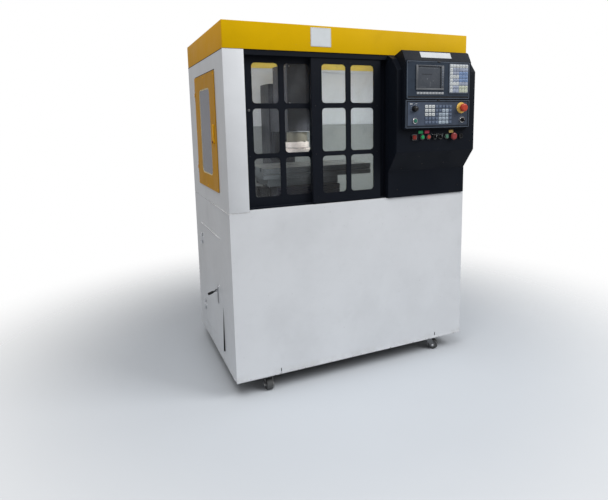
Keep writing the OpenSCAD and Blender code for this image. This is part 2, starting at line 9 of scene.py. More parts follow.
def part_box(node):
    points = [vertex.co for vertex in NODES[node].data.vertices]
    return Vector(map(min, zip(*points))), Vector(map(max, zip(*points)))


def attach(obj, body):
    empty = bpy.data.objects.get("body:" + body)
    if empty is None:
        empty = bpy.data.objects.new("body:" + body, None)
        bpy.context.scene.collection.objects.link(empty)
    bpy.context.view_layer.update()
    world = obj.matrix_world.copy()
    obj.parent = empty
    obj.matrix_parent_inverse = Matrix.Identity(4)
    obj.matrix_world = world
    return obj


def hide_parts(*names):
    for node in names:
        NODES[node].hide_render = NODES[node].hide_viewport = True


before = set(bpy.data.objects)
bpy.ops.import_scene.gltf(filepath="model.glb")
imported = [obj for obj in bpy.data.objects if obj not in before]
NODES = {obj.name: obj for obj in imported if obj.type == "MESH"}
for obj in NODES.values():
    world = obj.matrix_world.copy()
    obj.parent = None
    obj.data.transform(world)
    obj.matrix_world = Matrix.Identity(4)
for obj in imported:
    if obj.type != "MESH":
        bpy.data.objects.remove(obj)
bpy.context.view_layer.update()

OX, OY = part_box("roof_cap")[0][0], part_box("roof_cap")[0][1]


def M(x, y, z):
    """cabinet millimetres (front left corner of the sheet, floor) to the row frame in metres"""
    return Vector((OX + x / 1000.0, OY + y / 1000.0, z / 1000.0))


# ------------------------------------------------------------------ material helpers
class Mat:
    def __init__(self, name):
        self.m = bpy.data.materials.new(name)
        self.m.use_nodes = True
        self.nt = self.m.node_tree
        self.nt.nodes.clear()
        self.out = self.nt.nodes.new("ShaderNodeOutputMaterial")
        self.b = self.nt.nodes.new("ShaderNodeBsdfPrincipled")
        self.nt.links.new(self.b.outputs[0], self.out.inputs[0])
        self.tc = self.nt.nodes.new("ShaderNodeTexCoord")

    def link(self, a, b):
        self.nt.links.new(a, b)

    def set(self, **k):
        names = {"color": "Base Color", "rough": "Roughness", "metal": "Metallic", "spec": "Specular IOR Level",
                 "coat": "Coat Weight", "coat_rough": "Coat Roughness", "ior": "IOR", "aniso": "Anisotropic",
                 "sheen": "Sheen Weight", "emit": "Emission Strength", "emit_color": "Emission Color"}
        for a, v in k.items():
            self.b.inputs[names[a]].default_value = (*v, 1.0) if isinstance(v, tuple) and len(v) == 3 else v
        return self

    def coords(self, scale=(1, 1, 1), loc=(0, 0, 0)):
        mp = self.nt.nodes.new("ShaderNodeMapping")
        mp.inputs["Scale"].default_value = scale
        mp.inputs["Location"].default_value = loc
        self.link(self.tc.outputs["Object"], mp.inputs["Vector"])
        return mp.outputs[0]

    def noise(self, scale, detail=4.0, rough=0.55, stretch=(1, 1, 1), loc=(0, 0, 0), dist=0.0):
        n = self.nt.nodes.new("ShaderNodeTexNoise")
        n.inputs["Scale"].default_value = scale
        n.inputs["Detail"].default_value = detail
        n.inputs["Roughness"].default_value = rough
        n.inputs["Distortion"].default_value = dist
        self.link(self.coords(stretch, loc), n.inputs["Vector"])
        return n.outputs["Fac"]

    def voronoi(self, scale, feature="F1", stretch=(1, 1, 1)):
        n = self.nt.nodes.new("ShaderNodeTexVoronoi")
        n.feature = feature
        n.inputs["Scale"].default_value = scale
        self.link(self.coords(stretch), n.inputs["Vector"])
        return n.outputs["Distance"]

    def rng(self, src, a, b, c=0.0, d=1.0, smooth=True):
        n = self.nt.nodes.new("ShaderNodeMapRange")
        n.interpolation_type = "SMOOTHSTEP" if smooth else "LINEAR"
        n.inputs[1].default_value, n.inputs[2].default_value = a, b
        n.inputs[3].default_value, n.inputs[4].default_value = c, d
        n.clamp = True
        self.link(src, n.inputs[0])
        return n.outputs[0]

    def math(self, op, a, b=None):
        n = self.nt.nodes.new("ShaderNodeMath")
        n.operation = op
        for i, v in enumerate((a, b)):
            if v is None:
                continue
            if isinstance(v, (int, float)):
                n.inputs[i].default_value = v
            else:
                self.link(v, n.inputs[i])
        return n.outputs[0]

    def xyz(self):
        n = self.nt.nodes.new("ShaderNodeSeparateXYZ")
        self.link(self.tc.outputs["Object"], n.inputs[0])
        return n.outputs

    def normal(self):
        n = self.nt.nodes.new("ShaderNodeNewGeometry")
        s = self.nt.nodes.new("ShaderNodeSeparateXYZ")
        self.link(n.outputs["Normal"], s.inputs[0])
        return s.outputs

    def mix(self, fac, a, b):
        n = self.nt.nodes.new("ShaderNodeMix")
        n.data_type = "RGBA"
        n.clamp_factor = True
        self.link(fac, n.inputs[0])
        for i, v in ((6, a), (7, b)):
            if isinstance(v, tuple):
                n.inputs[i].default_value = (*v, 1.0)
            else:
                self.link(v, n.inputs[i])
        return n.outputs[2]

    def color(self, sock):
        self.link(sock, self.b.inputs["Base Color"])
        return self

    def rough(self, sock):
        self.link(sock, self.b.inputs["Roughness"])
        return self

    def bump(self, sock, strength, dist=0.001, prev=None):
        n = self.nt.nodes.new("ShaderNodeBump")
        n.inputs["Strength"].default_value = strength
        n.inputs["Distance"].default_value = dist
        self.link(sock, n.inputs["Height"])
        if prev is not None:
            self.link(prev, n.inputs["Normal"])
        self.link(n.outputs[0], self.b.inputs["Normal"])
        return n.outputs[0]


def shade(c, k):
    return tuple(max(0.0, min(1.0, x * k)) for x in c)


def paint(name, base, r0=0.32, r1=0.5, peel=0.10, smudge=0.10, dust=0.25, grime=None, spec=0.3, sheet=False, left_face_painted_light=None, past=None):
    """powder coat: orange peel, soft smudges, dust on upward faces, optional grime near the floor, optional painted
    light as a warmer tint on faces turned to the left
    """
    k = Mat(name)
    k.set(color=base, spec=spec)
    big = k.noise(2.3, 5.0, 0.6)
    mid = k.noise(11.0, 6.0, 0.6, dist=0.4)
    c = k.mix(k.rng(big, 0.35, 0.7), shade(base, 1.03), shade(base, 0.94))
    c = k.mix(k.math("MULTIPLY", k.rng(mid, 0.52, 0.75), smudge), c, shade(base, 0.55))
    fleck = k.math("MULTIPLY", k.rng(k.noise(95.0, 2.0, 0.5), 0.72, 0.80), 0.22)
    c = k.mix(fleck, c, (0.16, 0.15, 0.14))
    if grime:
        z = k.xyz()[2]
        low = k.rng(z, grime[0], grime[1], 1.0, 0.0)
        g = k.math("MULTIPLY", low, k.rng(k.noise(16.0, 7.0, 0.65), 0.38, 0.72))
        c = k.mix(k.math("MULTIPLY", g, 0.28), c, (0.30, 0.27, 0.23))
        chip = k.math("MULTIPLY", k.rng(z, grime[0] + 0.001, grime[0] + 0.012, 1.0, 0.0), k.rng(k.noise(46.0, 5.0, 0.7), 0.58, 0.63))
        c = k.mix(chip, c, (0.045, 0.040, 0.038))
    # painted light: faces turned to the left take a warmer tint that stands in for the light on that side
    if left_face_painted_light:
        c = k.mix(k.rng(k.normal()[0], -0.9, -0.5, 1.0, 0.0), c, left_face_painted_light)
    if past:
        c = k.mix(k.rng(k.xyz()[1], past[0] - 0.0004, past[0] + 0.0004), c, past[1])
    up = k.math("MULTIPLY", k.rng(k.normal()[2], 0.6, 0.98), k.rng(k.noise(26.0, 6.0, 0.65), 0.3, 0.75))
    c = k.mix(k.math("MULTIPLY", up, dust), c, (0.46, 0.44, 0.41))
    k.color(c)
    k.rough(k.rng(k.noise(7.0, 5.0, 0.6, loc=(3, 1, 2)), 0.3, 0.75, r0, r1))
    first = k.bump(k.noise(3.2, 2.0, 0.5, loc=(7, 3, 5)), 0.06, 0.02) if sheet else None
    k.bump(k.noise(420.0, 2.0, 0.5), peel, 0.0006, first)
    return k.m


def metal(name, base, r0=0.22, r1=0.42, metal=1.0, stretch=(1, 1, 1), scale=60.0, stain=0.25):
    k = Mat(name)
    k.set(color=base, metal=metal)
    line = k.noise(scale, 6.0, 0.6, stretch)
    blot = k.noise(14.0, 5.0, 0.6)
    c = k.mix(k.rng(line, 0.3, 0.7), shade(base, 1.08), shade(base, 0.82))
    c = k.mix(k.math("MULTIPLY", k.rng(blot, 0.5, 0.75), stain), c, shade(base, 0.45))
    k.color(c)
    k.rough(k.rng(line, 0.25, 0.75, r0, r1))
    k.bump(line, 0.05, 0.0004)
    return k.m


def plastic(name, base, r0=0.28, r1=0.42, grain=0.10, spec=0.3, scale=900.0, vary=(1.07, 0.86)):
    k = Mat(name)
    k.set(color=base, spec=spec)
    n = k.noise(30.0, 5.0, 0.6)
    c = k.mix(k.rng(n, 0.35, 0.7), shade(base, vary[0]), shade(base, vary[1]))
    k.color(c)
    k.rough(k.rng(k.noise(55.0, 4.0, 0.6, loc=(5, 2, 1)), 0.3, 0.7, r0, r1))
    k.bump(k.noise(scale, 2.0, 0.5), grain, 0.0003)
    return k.m


WHITE = (0.680, 0.704, 0.736)
YELLOW = (0.595, 0.362, 0.0009)
BLACK = (0.0068, 0.0088, 0.0140)
m_white = paint("white_powder_coat", WHITE, 0.28, 0.40, peel=0.015, grime=(0.080, 0.13), smudge=0.07, spec=0.26, sheet=True)
m_white_up = paint("white_powder_coat_upper", WHITE, 0.28, 0.40, peel=0.015, smudge=0.06, spec=0.26, sheet=True)
# the roof yellow's left faces get a more orange tint as painted light
m_yellow = paint("yellow_powder_coat", YELLOW, 0.36, 0.5, smudge=0.12, dust=0.10, spec=0.035, sheet=True, left_face_painted_light=(0.66, 0.335, 0.016))
m_gold = paint("yellow_powder_coat_door", (0.565, 0.280, 0.014), 0.36, 0.5, smudge=0.14, dust=0.3, spec=0.06, sheet=True, past=(M(0, 669.3, 0).y, WHITE))
# lighter copy of the roof yellow: painted light on the lit inner rim of the roof cap
m_yellow_rim_painted_light = paint("yellow_inner_rim_painted_light", (0.95, 0.73, 0.13), 0.4, 0.55, smudge=0.1, dust=0.1, spec=0.1)
m_black = paint("black_powder_coat", BLACK, 0.36, 0.54, peel=0.14, smudge=0.25, dust=0.08, spec=0.09)
m_hood = paint("console_black", (0.0066, 0.0088, 0.0140), 0.36, 0.52, peel=0.12, smudge=0.25, dust=0.03, spec=0.08)
m_tray = paint("tray_grey", (0.315, 0.330, 0.330), 0.38, 0.56, smudge=0.25, dust=0.55)
m_frame = paint("frame_grey", (0.030, 0.032, 0.036), 0.4, 0.6, smudge=0.3, dust=0.2)
m_iron = paint("machine_grey", (0.028, 0.030, 0.037), 0.36, 0.52, peel=0.18, smudge=0.35, dust=0.18)
m_cover = paint("head_cover_grey", (0.038, 0.039, 0.051), 0.36, 0.5, peel=0.14, smudge=0.25, dust=0.15)


def table_iron():
    """dark painted sides, ground top"""
    k = Mat("table_iron")
    k.set(color=(0.07, 0.075, 0.075), spec=0.3)
    line = k.noise(40.0, 6.0, 0.6, (1, 30, 30))
    up = k.rng(k.normal()[2], 0.7, 0.95)
    side = k.mix(k.rng(k.noise(12.0, 5.0, 0.6), 0.35, 0.7), (0.068, 0.075, 0.079), (0.053, 0.058, 0.062))
    top = k.mix(k.rng(line, 0.3, 0.7), (0.30, 0.31, 0.30), (0.22, 0.23, 0.225))
    k.color(k.mix(up, side, top))
    k.link(k.rng(up, 0.0, 1.0, 0.0, 0.55), k.b.inputs["Metallic"])
    k.rough(k.rng(line, 0.25, 0.75, 0.32, 0.48))
    k.bump(line, 0.05, 0.0004)
    return k.m


m_table = table_iron()
m_steel = metal("bright_steel", (0.66, 0.66, 0.67), 0.16, 0.32)
# turned steel with a pale pinkish base and low metallic: painted reflection of the bright windows on the flange
m_turned_painted_reflection = metal("turned_steel_painted_reflection", (0.92, 0.83, 0.775), 0.22, 0.36, 0.40, (1, 1, 60), 50.0, 0.10)
m_olive = metal("cartridge_steel", (0.20, 0.190, 0.150), 0.24, 0.4, 0.35, (1, 1, 40), 50.0, 0.2)
m_zinc = metal("zinc_plate", (0.50, 0.51, 0.53), 0.26, 0.5, 0.9, (1, 1, 1), 45.0, 0.45)
m_screw = metal("dark_screw", (0.11, 0.112, 0.118), 0.3, 0.45, 0.6, (1, 1, 1), 60.0, 0.2)
m_fork = metal("caster_zinc", (0.20, 0.205, 0.21), 0.3, 0.55, 0.8, (1, 1, 1), 130.0, 0.6)
m_chrome = metal("chrome", (0.78, 0.79, 0.80), 0.08, 0.2, 1.0, (1, 1, 1), 120.0, 0.1)
m_slate = plastic("slate_plastic", (0.028, 0.040, 0.060), 0.40, 0.55, 0.2, 0.10)
# slate trim whose colour is lifted above the slate tone as a painted highlight along the frame edges
m_trim_and_highlight = plastic("slate_trim_and_painted_highlight", (0.082, 0.102, 0.136), 0.34, 0.46, 0.15, 0.2)
m_bezel = plastic("screen_bezel", (0.078, 0.086, 0.098), 0.36, 0.5, 0.15, 0.3)
m_bezel_l = plastic("screen_bezel_lower", (0.125, 0.134, 0.146), 0.36, 0.5, 0.15, 0.3)
m_blackp = plastic("black_plastic", (0.0085, 0.0088, 0.0105), 0.28, 0.44, 0.1, 0.3)
# rubber for gaskets and seals, also used for dark strips that are painted shade
m_rubber_and_shade = plastic("rubber_and_painted_shade", (0.016, 0.016, 0.018), 0.6, 0.8, 0.3, 0.2, 300.0)
m_bellows = plastic("bellows", (0.012, 0.012, 0.020), 0.5, 0.7, 0.25, 0.25, 400.0)
m_tread = plastic("tread", (0.075, 0.078, 0.080), 0.5, 0.75, 0.3, 0.25, 260.0)
m_core = plastic("wheel_core", (0.16, 0.165, 0.17), 0.4, 0.55, 0.12, 0.3)
m_red = plastic("red_plastic", (0.20, 0.022, 0.016), 0.26, 0.4)
m_stop = plastic("stop_red", (0.48, 0.052, 0.026), 0.30, 0.42)
m_mush = plastic("mushroom_red", (0.26, 0.036, 0.036), 0.30, 0.42)
m_redlit = plastic("red_lens", (0.46, 0.060, 0.034), 0.18, 0.3)
m_green = plastic("green_plastic", (0.018, 0.36, 0.115), 0.24, 0.36)
m_green_b = plastic("green_grey", (0.085, 0.235, 0.155), 0.24, 0.36)
m_teal = plastic("teal_green", (0.024, 0.165, 0.115), 0.22, 0.34)
m_motor = paint("motor_black", (0.014, 0.015, 0.017), 0.35, 0.5, smudge=0.3, dust=0.2)
m_key_w = plastic("key_white", (0.56, 0.595, 0.605), 0.4, 0.55, 0.12)
m_key_m = plastic("key_mid", (0.32, 0.365, 0.47), 0.4, 0.55, 0.12)
m_key_b = plastic("key_blue", (0.17, 0.26, 0.45), 0.4, 0.55, 0.12)
m_key_soft = plastic("key_soft_row", (0.34, 0.36, 0.385), 0.4, 0.55, 0.14)
m_key_side = plastic("key_side_row", (0.165, 0.185, 0.225), 0.4, 0.55, 0.12)
m_key_y = plastic("key_cream", (0.48, 0.52, 0.42), 0.4, 0.55, 0.12)
m_key_d = plastic("key_dim", (0.085, 0.116, 0.180), 0.4, 0.55, 0.12)
m_key_l = plastic("key_light", (0.36, 0.43, 0.51), 0.4, 0.55, 0.12)
m_membrane = plastic("key_membrane", (0.17, 0.20, 0.26), 0.42, 0.58, 0.12)
m_label = plastic("label_white", (0.62, 0.66, 0.69), 0.35, 0.5, 0.05, vary=(1.02, 0.97))
m_label_b = plastic("label_grey_white", (0.50, 0.525, 0.55), 0.38, 0.52, 0.05, vary=(1.02, 0.97))
m_badge_edge = plastic("badge_edge", (0.42, 0.44, 0.46), 0.3, 0.42, 0.05, vary=(1.03, 0.95))
m_ink = plastic("ink_dark", (0.03, 0.034, 0.045), 0.4, 0.55, 0.05)
m_mark = plastic("mark_white", (0.60, 0.62, 0.64), 0.4, 0.55, 0.05)
m_tag_g = plastic("tag_green", (0.024, 0.36, 0.13), 0.35, 0.5, 0.05)
m_tag_r = plastic("tag_red", (0.55, 0.050, 0.105), 0.35, 0.5, 0.05)
m_tag_y = plastic("tag_yellow", (0.80, 0.56, 0.17), 0.35, 0.5, 0.05)
m_estop_y = plastic("stop_yellow", (0.80, 0.53, 0.12), 0.34, 0.46, 0.08)
m_handle = paint("lever_yellow", (0.86, 0.46, 0.012), 0.34, 0.48, spec=0.2)
m_brown = plastic("pivot_brown", (0.17, 0.040, 0.010), 0.4, 0.55, 0.1)
m_seal = plastic("cream_seal", (0.70, 0.62, 0.38), 0.5, 0.65, 0.1)
# lamp diffuser white, also given to thin strips along edges and seams as a painted highlight
m_lamp_white_and_highlight = plastic("lamp_diffuser_and_painted_highlight", (0.82, 0.83, 0.84), 0.4, 0.55, 0.05)


def thread(name, axis, pitch=0.005):
    """ground screw: fine turns along one axis"""
    k = Mat(name)
    k.set(color=(0.55, 0.55, 0.56), metal=1.0)
    w = k.nt.nodes.new("ShaderNodeTexWave")
    w.wave_type = "BANDS"
    w.bands_direction = axis
    w.inputs["Scale"].default_value = 1.0 / pitch * 0.314
    w.inputs["Distortion"].default_value = 0.0
    k.link(k.coords(), w.inputs["Vector"])
    k.color(k.mix(k.rng(w.outputs["Fac"], 0.2, 0.8), (0.20, 0.19, 0.17), (0.66, 0.66, 0.67)))
    k.rough(k.rng(k.noise(60.0), 0.3, 0.7, 0.18, 0.34))
    k.bump(w.outputs["Fac"], 0.6, 0.0012)
    return k.m


m_thread = {a: thread("screw_thread_" + a.lower(), a) for a in "XYZ"}


def panel_face(name, rect, inner, outer):
    """moulded panel with a paler field on its face (rect in cabinet millimetres, x and z)"""
    k = Mat(name)
    k.set(color=outer, spec=0.12)
    x, y, z = k.xyz()
    a, b = M(rect[0], 0, rect[2]), M(rect[1], 0, rect[3])
    e = 0.0006
    m = k.math("MULTIPLY", k.rng(x, a.x - e, a.x + e), k.rng(x, b.x - e, b.x + e, 1.0, 0.0))
    m = k.math("MULTIPLY", m, k.math("MULTIPLY", k.rng(z, a.z - e, a.z + e), k.rng(z, b.z - e, b.z + e, 1.0, 0.0)))
    n = k.rng(k.noise(30.0, 5.0, 0.6), 0.35, 0.7)
    fade = k.rng(x, a.x, b.x, 0.0, 1.0, False)
    fi = k.mix(fade, k.mix(n, shade(inner, 1.14), shade(inner, 1.0)), k.mix(n, shade(inner, 0.74), shade(inner, 0.64)))
    k.color(k.mix(m, k.mix(n, shade(outer, 1.05), shade(outer, 0.88)), fi))
    k.rough(k.rng(k.noise(55.0, 4.0, 0.6, loc=(5, 2, 1)), 0.3, 0.7, 0.38, 0.52))
    k.bump(k.noise(900.0, 2.0, 0.5), 0.18, 0.0003)
    return k.m


m_oppanel = panel_face("operator_panel_face", (892, 1267, 1303, 1421), (0.066, 0.084, 0.122), (0.018, 0.025, 0.038))


def pane(name, tint, dirt, veil=(0.50, 0.53, 0.56), milk=0.0):
    """clear sheet: see-through with a fresnel gloss and a little haze"""
    k = Mat(name)
    k.set(color=veil, spec=0.3)
    k.rough(k.rng(k.noise(5.0, 5.0), 0.35, 0.7, 0.04, 0.10))
    tr = k.nt.nodes.new("ShaderNodeBsdfTransparent")
    tr.inputs[0].default_value = (*tint, 1.0)
    fr = k.nt.nodes.new("ShaderNodeFresnel")
    fr.inputs["IOR"].default_value = 1.38
    haze = k.rng(k.noise(6.5, 7.0, 0.65, dist=0.5), 0.40, 0.8, milk, milk + dirt)
    gl = k.nt.nodes.new("ShaderNodeBsdfGlossy")
    gl.inputs["Color"].default_value = (0.95, 0.97, 1.0, 1.0)
    gl.inputs["Roughness"].default_value = 0.03
    m1 = k.nt.nodes.new("ShaderNodeMixShader")
    k.link(haze, m1.inputs[0])
    k.link(tr.outputs[0], m1.inputs[1])
    k.link(k.b.outputs[0], m1.inputs[2])
    m2 = k.nt.nodes.new("ShaderNodeMixShader")
    k.link(fr.outputs[0], m2.inputs[0])
    k.link(m1.outputs[0], m2.inputs[1])
    k.link(gl.outputs[0], m2.inputs[2])
    k.link(m2.outputs[0], k.out.inputs[0])
    return k.m


m_pane = pane("clear_pane", (0.92, 0.94, 0.95), 0.08)
m_pane_side = pane("clear_pane_side", (0.86, 0.885, 0.95), 0.05, (0.545, 0.565, 0.69), 0.345)


def screen_mat():
    k = Mat("screen_dark")
    k.set(color=(0.052, 0.060, 0.070), spec=0.25)
    z = k.xyz()[2]
    c = k.mix(k.rng(z, 1.49, 1.60), (0.058, 0.066, 0.080), (0.067, 0.077, 0.094))
    c = k.mix(k.math("MULTIPLY", k.rng(k.noise(18.0, 6.0), 0.5, 0.8), 0.25), c, (0.085, 0.092, 0.10))
    k.color(c)
    k.rough(k.rng(k.noise(24.0, 5.0), 0.35, 0.7, 0.22, 0.34))
    return k.m


m_screen = screen_mat()
m_trace = plastic("screen_trace", (0.215, 0.230, 0.255), 0.3, 0.4, 0.03, 0.25)
m_trace_d = plastic("screen_trace_dark", (0.022, 0.025, 0.032), 0.3, 0.4, 0.03, 0.25)

MATS = {
    "base_frame": m_frame, "lower_cabinet": m_white, "chip_tray": m_tray, "upper_cabinet": m_white_up, "roof_cap": m_yellow,
    "door_track_frame": m_black, "console_housing": m_hood, "operator_box": m_hood, "display_unit": m_slate, "display_screen": m_screen,
    "membrane_keys": m_key_m, "operator_panel": m_oppanel, "control_collars": m_blackp, "label_plates": m_label, "door_hinges": m_white_up,
    "machine_stand": m_frame, "machine_bed": m_iron, "column": m_iron, "axis_motors": m_motor, "electrics_box": m_tray, "power_gland": m_blackp,
    "left_door_frame": m_black, "left_door_window": m_pane, "left_door_pull": m_screw, "right_door_frame": m_black, "right_door_window": m_pane,
    "side_door_frame": m_gold, "side_door_window": m_pane_side, "side_door_handle": m_handle,
    "lower_door": m_white, "lower_latch_plate": m_zinc, "lower_latch_lever": m_blackp,
    "saddle": m_iron, "x_motor": m_motor, "work_table": m_table, "spindle_head": m_iron, "head_cover": m_cover, "spindle": m_turned_painted_reflection,
    "x_screw": m_thread["X"], "y_screw": m_thread["Y"], "z_screw": m_thread["Z"],
    "estop_button": m_stop, "mode_knob": m_blackp, "start_button": m_teal, "override_knob": m_blackp, "red_square_button": m_red,
    "green_button": m_green, "red_button": m_redlit, "selector_a": m_blackp, "selector_b": m_blackp, "green_button_b": m_green_b, "stop_mushroom": m_mush,
}
for t in ("fl", "fr", "rl", "rr"):
    MATS["caster_fork_" + t] = m_fork
    MATS["caster_wheel_" + t] = m_tread
for n, o in NODES.items():
    o.data.materials.clear()
    o.data.materials.append(MATS[n])


def soften(node, width, segments=2, angle=35):
    """eased edges on a sheet or moulded node"""
    o = NODES[node]
    w = o.modifiers.new("weld", "WELD")
    w.merge_threshold = 0.00002
    b = o.modifiers.new("ease", "BEVEL")
    b.width = width
    b.segments = segments
    b.limit_method = "ANGLE"
    b.angle_limit = math.radians(angle)
    b.use_clamp_overlap = True
    b.harden_normals = True


for n in ("lower_cabinet", "lower_door"):
    soften(n, 0.0012)
for n in ("left_door_frame", "right_door_frame"):
    soften(n, 0.0011)
soften("console_housing", 0.0014)
soften("operator_box", 0.0014, 3, 18)
for n in ("display_unit", "operator_panel"):
    soften(n, 0.0012)
soften("side_door_frame", 0.0012)
soften("side_door_handle", 0.0015)
for n in ("saddle", "machine_bed", "column", "spindle_head", "work_table", "head_cover"):
    soften(n, 0.003)
for n in ("estop_button", "stop_mushroom"):
    soften(n, 0.0018, 3)

# ------------------------------------------------------------------ camera
cam_data = bpy.data.cameras.new("camera")
cam = bpy.data.objects.new("camera", cam_data)
bpy.context.scene.collection.objects.link(cam)
bpy.context.scene.camera = cam
yaw, pitch, roll = math.radians(24.08), math.radians(-8.53), math.radians(-1.02)
fwd = Vector((math.sin(yaw) * math.cos(pitch), math.cos(yaw) * math.cos(pitch), math.sin(pitch)))
right = fwd.cross(Vector((0, 0, 1))).normalized()
up = right.cross(fwd)
r2 = math.cos(roll) * right + math.sin(roll) * up
u2 = -math.sin(roll) * right + math.cos(roll) * up
mw = Matrix.Identity(4)
for i in range(3):
    mw[i][0], mw[i][1], mw[i][2] = r2[i], u2[i], -fwd[i]
mw.translation = M(-525.3, -2201.5, 1332.9)
cam.matrix_world = mw
cam_data.sensor_width = 36.0
cam_data.sensor_fit = "HORIZONTAL"
cam_data.lens = 492.0 / 608.0 * 36.0
cam_data.shift_x = (304.0 - 320.1) / 608.0
cam_data.shift_y = (195.3 - 250.0) / 608.0
cam_data.clip_end = 200.0

# ------------------------------------------------------------------ small parts
sc = bpy.context.scene
PY, BY, CY, RZ = -116.0, -110.0, -85.0, 1244.0   # panel faces, operator box, console face, push-button row
LDX, LDY, RDX, RDY, DW, PW, PR = 100.0, 40.0, 427.0, 10.0, 384.0, 130.0, 18.0
WINZ = ((979, 1165), (1186, 1398), (1421, 1607))


def on_y(a, b, d):
    return M(a, d, b)


def on_x(a, b, d):
    return M(d, a, b)


def on_z(a, b, d):
    return M(a, b, d)


def rr_loop(a0, a1, b0, b1, r, n=7):
    """outline of a rectangle with round corners"""
    r = max(0.01, min(r, (a1 - a0) / 2 - 0.01, (b1 - b0) / 2 - 0.01))
    out = []
    for ca, cb, q in ((a1 - r, b1 - r, 0), (a0 + r, b1 - r, 1), (a0 + r, b0 + r, 2), (a1 - r, b0 + r, 3)):
        for i in range(n + 1):
            t = math.pi / 2 * (q + i / n)
            out.append((ca + r * math.cos(t), cb + r * math.sin(t)))
    return out


class Kit:
    """several small shapes gathered in one piece"""

    def __init__(self, name):
        self.name = name
        self.v, self.f, self.fm = [], [], []
        self.mats = []

    def mi(self, m):
        if m not in self.mats:
            self.mats.append(m)
        return self.mats.index(m)

    def raw(self, verts, faces, mat):
        n = len(self.v)
        self.v += [tuple(p) for p in verts]
        self.f += [tuple(i + n for i in f) for f in faces]
        self.fm += [self.mi(mat)] * len(faces)

    def box(self, x0, x1, y0, y1, z0, z1, mat, bev=0.0, seg=2, turn=None):
        """block in cabinet millimetres; turn = (axis vector, degrees) about its own centre"""
        tb = bmesh.new()
        bmesh.ops.create_cube(tb, size=1.0)
        sx, sy, sz = abs(x1 - x0) / 1000, abs(y1 - y0) / 1000, abs(z1 - z0) / 1000
        for v in tb.verts:
            v.co = Vector((v.co.x * sx, v.co.y * sy, v.co.z * sz))
        if bev:
            bmesh.ops.bevel(tb, geom=tb.edges[:], offset=bev / 1000, segments=seg, profile=0.5, affect="EDGES", clamp_overlap=True)
        c = M((x0 + x1) / 2, (y0 + y1) / 2, (z0 + z1) / 2)
        rot = Matrix.Rotation(math.radians(turn[1]), 3, Vector(turn[0])) if turn else Matrix.Identity(3)
        tb.verts.index_update()
        self.raw([rot @ v.co + c for v in tb.verts], [[v.index for v in f.verts] for f in tb.faces], mat)
        tb.free()

    def lathe(self, o, axis, prof, mat, seg=40, close=False, spin=0.0):
        """turned shape: (radius, height) in mm along axis from the point o"""
        a = Vector(axis).normalized()
        u = a.cross(Vector((0, 0, 1)) if abs(a.z) < 0.9 else Vector((1, 0, 0))).normalized()
        w = a.cross(u)
        base = M(*o)
        verts, rows = [], []
        for r, h in prof:
            if r <= 1e-6:
                rows.append([len(verts)])
                verts.append(base + a * (h / 1000))
            else:
                row = []
                for i in range(seg):
                    t = 2 * math.pi * i / seg + spin
                    row.append(len(verts))
                    verts.append(base + a * (h / 1000) + (u * math.cos(t) + w * math.sin(t)) * (r / 1000))
                rows.append(row)
        faces = []
        pairs = list(zip(rows, rows[1:])) + ([(rows[-1], rows[0])] if close else [])
        for p, q in pairs:
            for i in range(seg):
                j = (i + 1) % seg
                if len(p) == 1 and len(q) == 1:
                    continue
                if len(p) == 1:
                    faces.append((p[0], q[i], q[j]))
                elif len(q) == 1:
                    faces.append((p[i], p[j], q[0]))
                else:
                    faces.append((p[i], p[j], q[j], q[i]))
        self.raw(verts, faces, mat)

    def plate(self, at, a0, a1, b0, b1, r, d0, d1, mat, n=7, ease=0.0):
        """flat plate with round corners between depths d0 (front) and d1"""
        lo = rr_loop(a0, a1, b0, b1, r, n)
        if ease:
            li = rr_loop(a0 + ease, a1 - ease, b0 + ease, b1 - ease, max(r - ease, 0.1), n)
            s = 1 if d1 > d0 else -1
            loops = [(li, d0), (lo, d0 + s * ease), (lo, d1)]
        else:
            loops = [(lo, d0), (lo, d1)]
        m = len(lo)
        verts = [at(a, b, d) for loop, d in loops for a, b in loop]
        faces = [tuple(range(m)), tuple(range((len(loops) - 1) * m, len(loops) * m))]
        for k in range(len(loops) - 1):
            for i in range(m):
                j = (i + 1) % m
                faces.append((k * m + i, k * m + j, (k + 1) * m + j, (k + 1) * m + i))
        self.raw(verts, faces, mat)

    def ring(self, at, a0, a1, b0, b1, r, w, d0, d1, mat, n=7):
        """frame strip of width w inside a rectangle with round corners"""
        lo = rr_loop(a0, a1, b0, b1, r, n)
        li = rr_loop(a0 + w, a1 - w, b0 + w, b1 - w, max(r - w, 0.4), n)
        m = len(lo)
        verts = [at(a, b, d) for loop, d in ((lo, d0), (li, d0), (li, d1), (lo, d1)) for a, b in loop]
        faces = []
        for k in range(4):
            l = (k + 1) % 4
            for i in range(m):
                j = (i + 1) % m
                faces.append((k * m + i, k * m + j, l * m + j, l * m + i))
        self.raw(verts, faces, mat)

    def tick(self, x, z, ang, r0, r1, w, y0, y1, mat):
        """short radial line on a front face"""
        t = math.radians(ang)
        d, p = (math.sin(t), math.cos(t)), (math.cos(t), -math.sin(t))
        q = [(x + d[0] * r + p[0] * s * w / 2, z + d[1] * r + p[1] * s * w / 2) for r, s in ((r0, -1), (r0, 1), (r1, 1), (r1, -1))]
        verts = [M(a, y0, b) for a, b in q] + [M(a, y1, b) for a, b in q]
        self.raw(verts, [(0, 1, 2, 3), (7, 6, 5, 4), (0, 4, 5, 1), (1, 5, 6, 2), (2, 6, 7, 3), (3, 7, 4, 0)], mat)

    def screw(self, o, axis, r, h, mat, seg=20):
        """socket head screw: dished head with a sunk socket"""
        self.lathe(o, axis, [(0, h * 0.35), (r * 0.42, h * 0.35), (r * 0.48, h * 0.96), (r * 0.62, h), (r * 0.88, h * 0.86), (r, h * 0.5), (r, 0)], mat, seg)

    def hexhead(self, o, axis, r, h, mat):
        self.lathe(o, axis, [(0, h), (r * 0.82, h), (r, h * 0.8), (r, 0)], mat, 6)

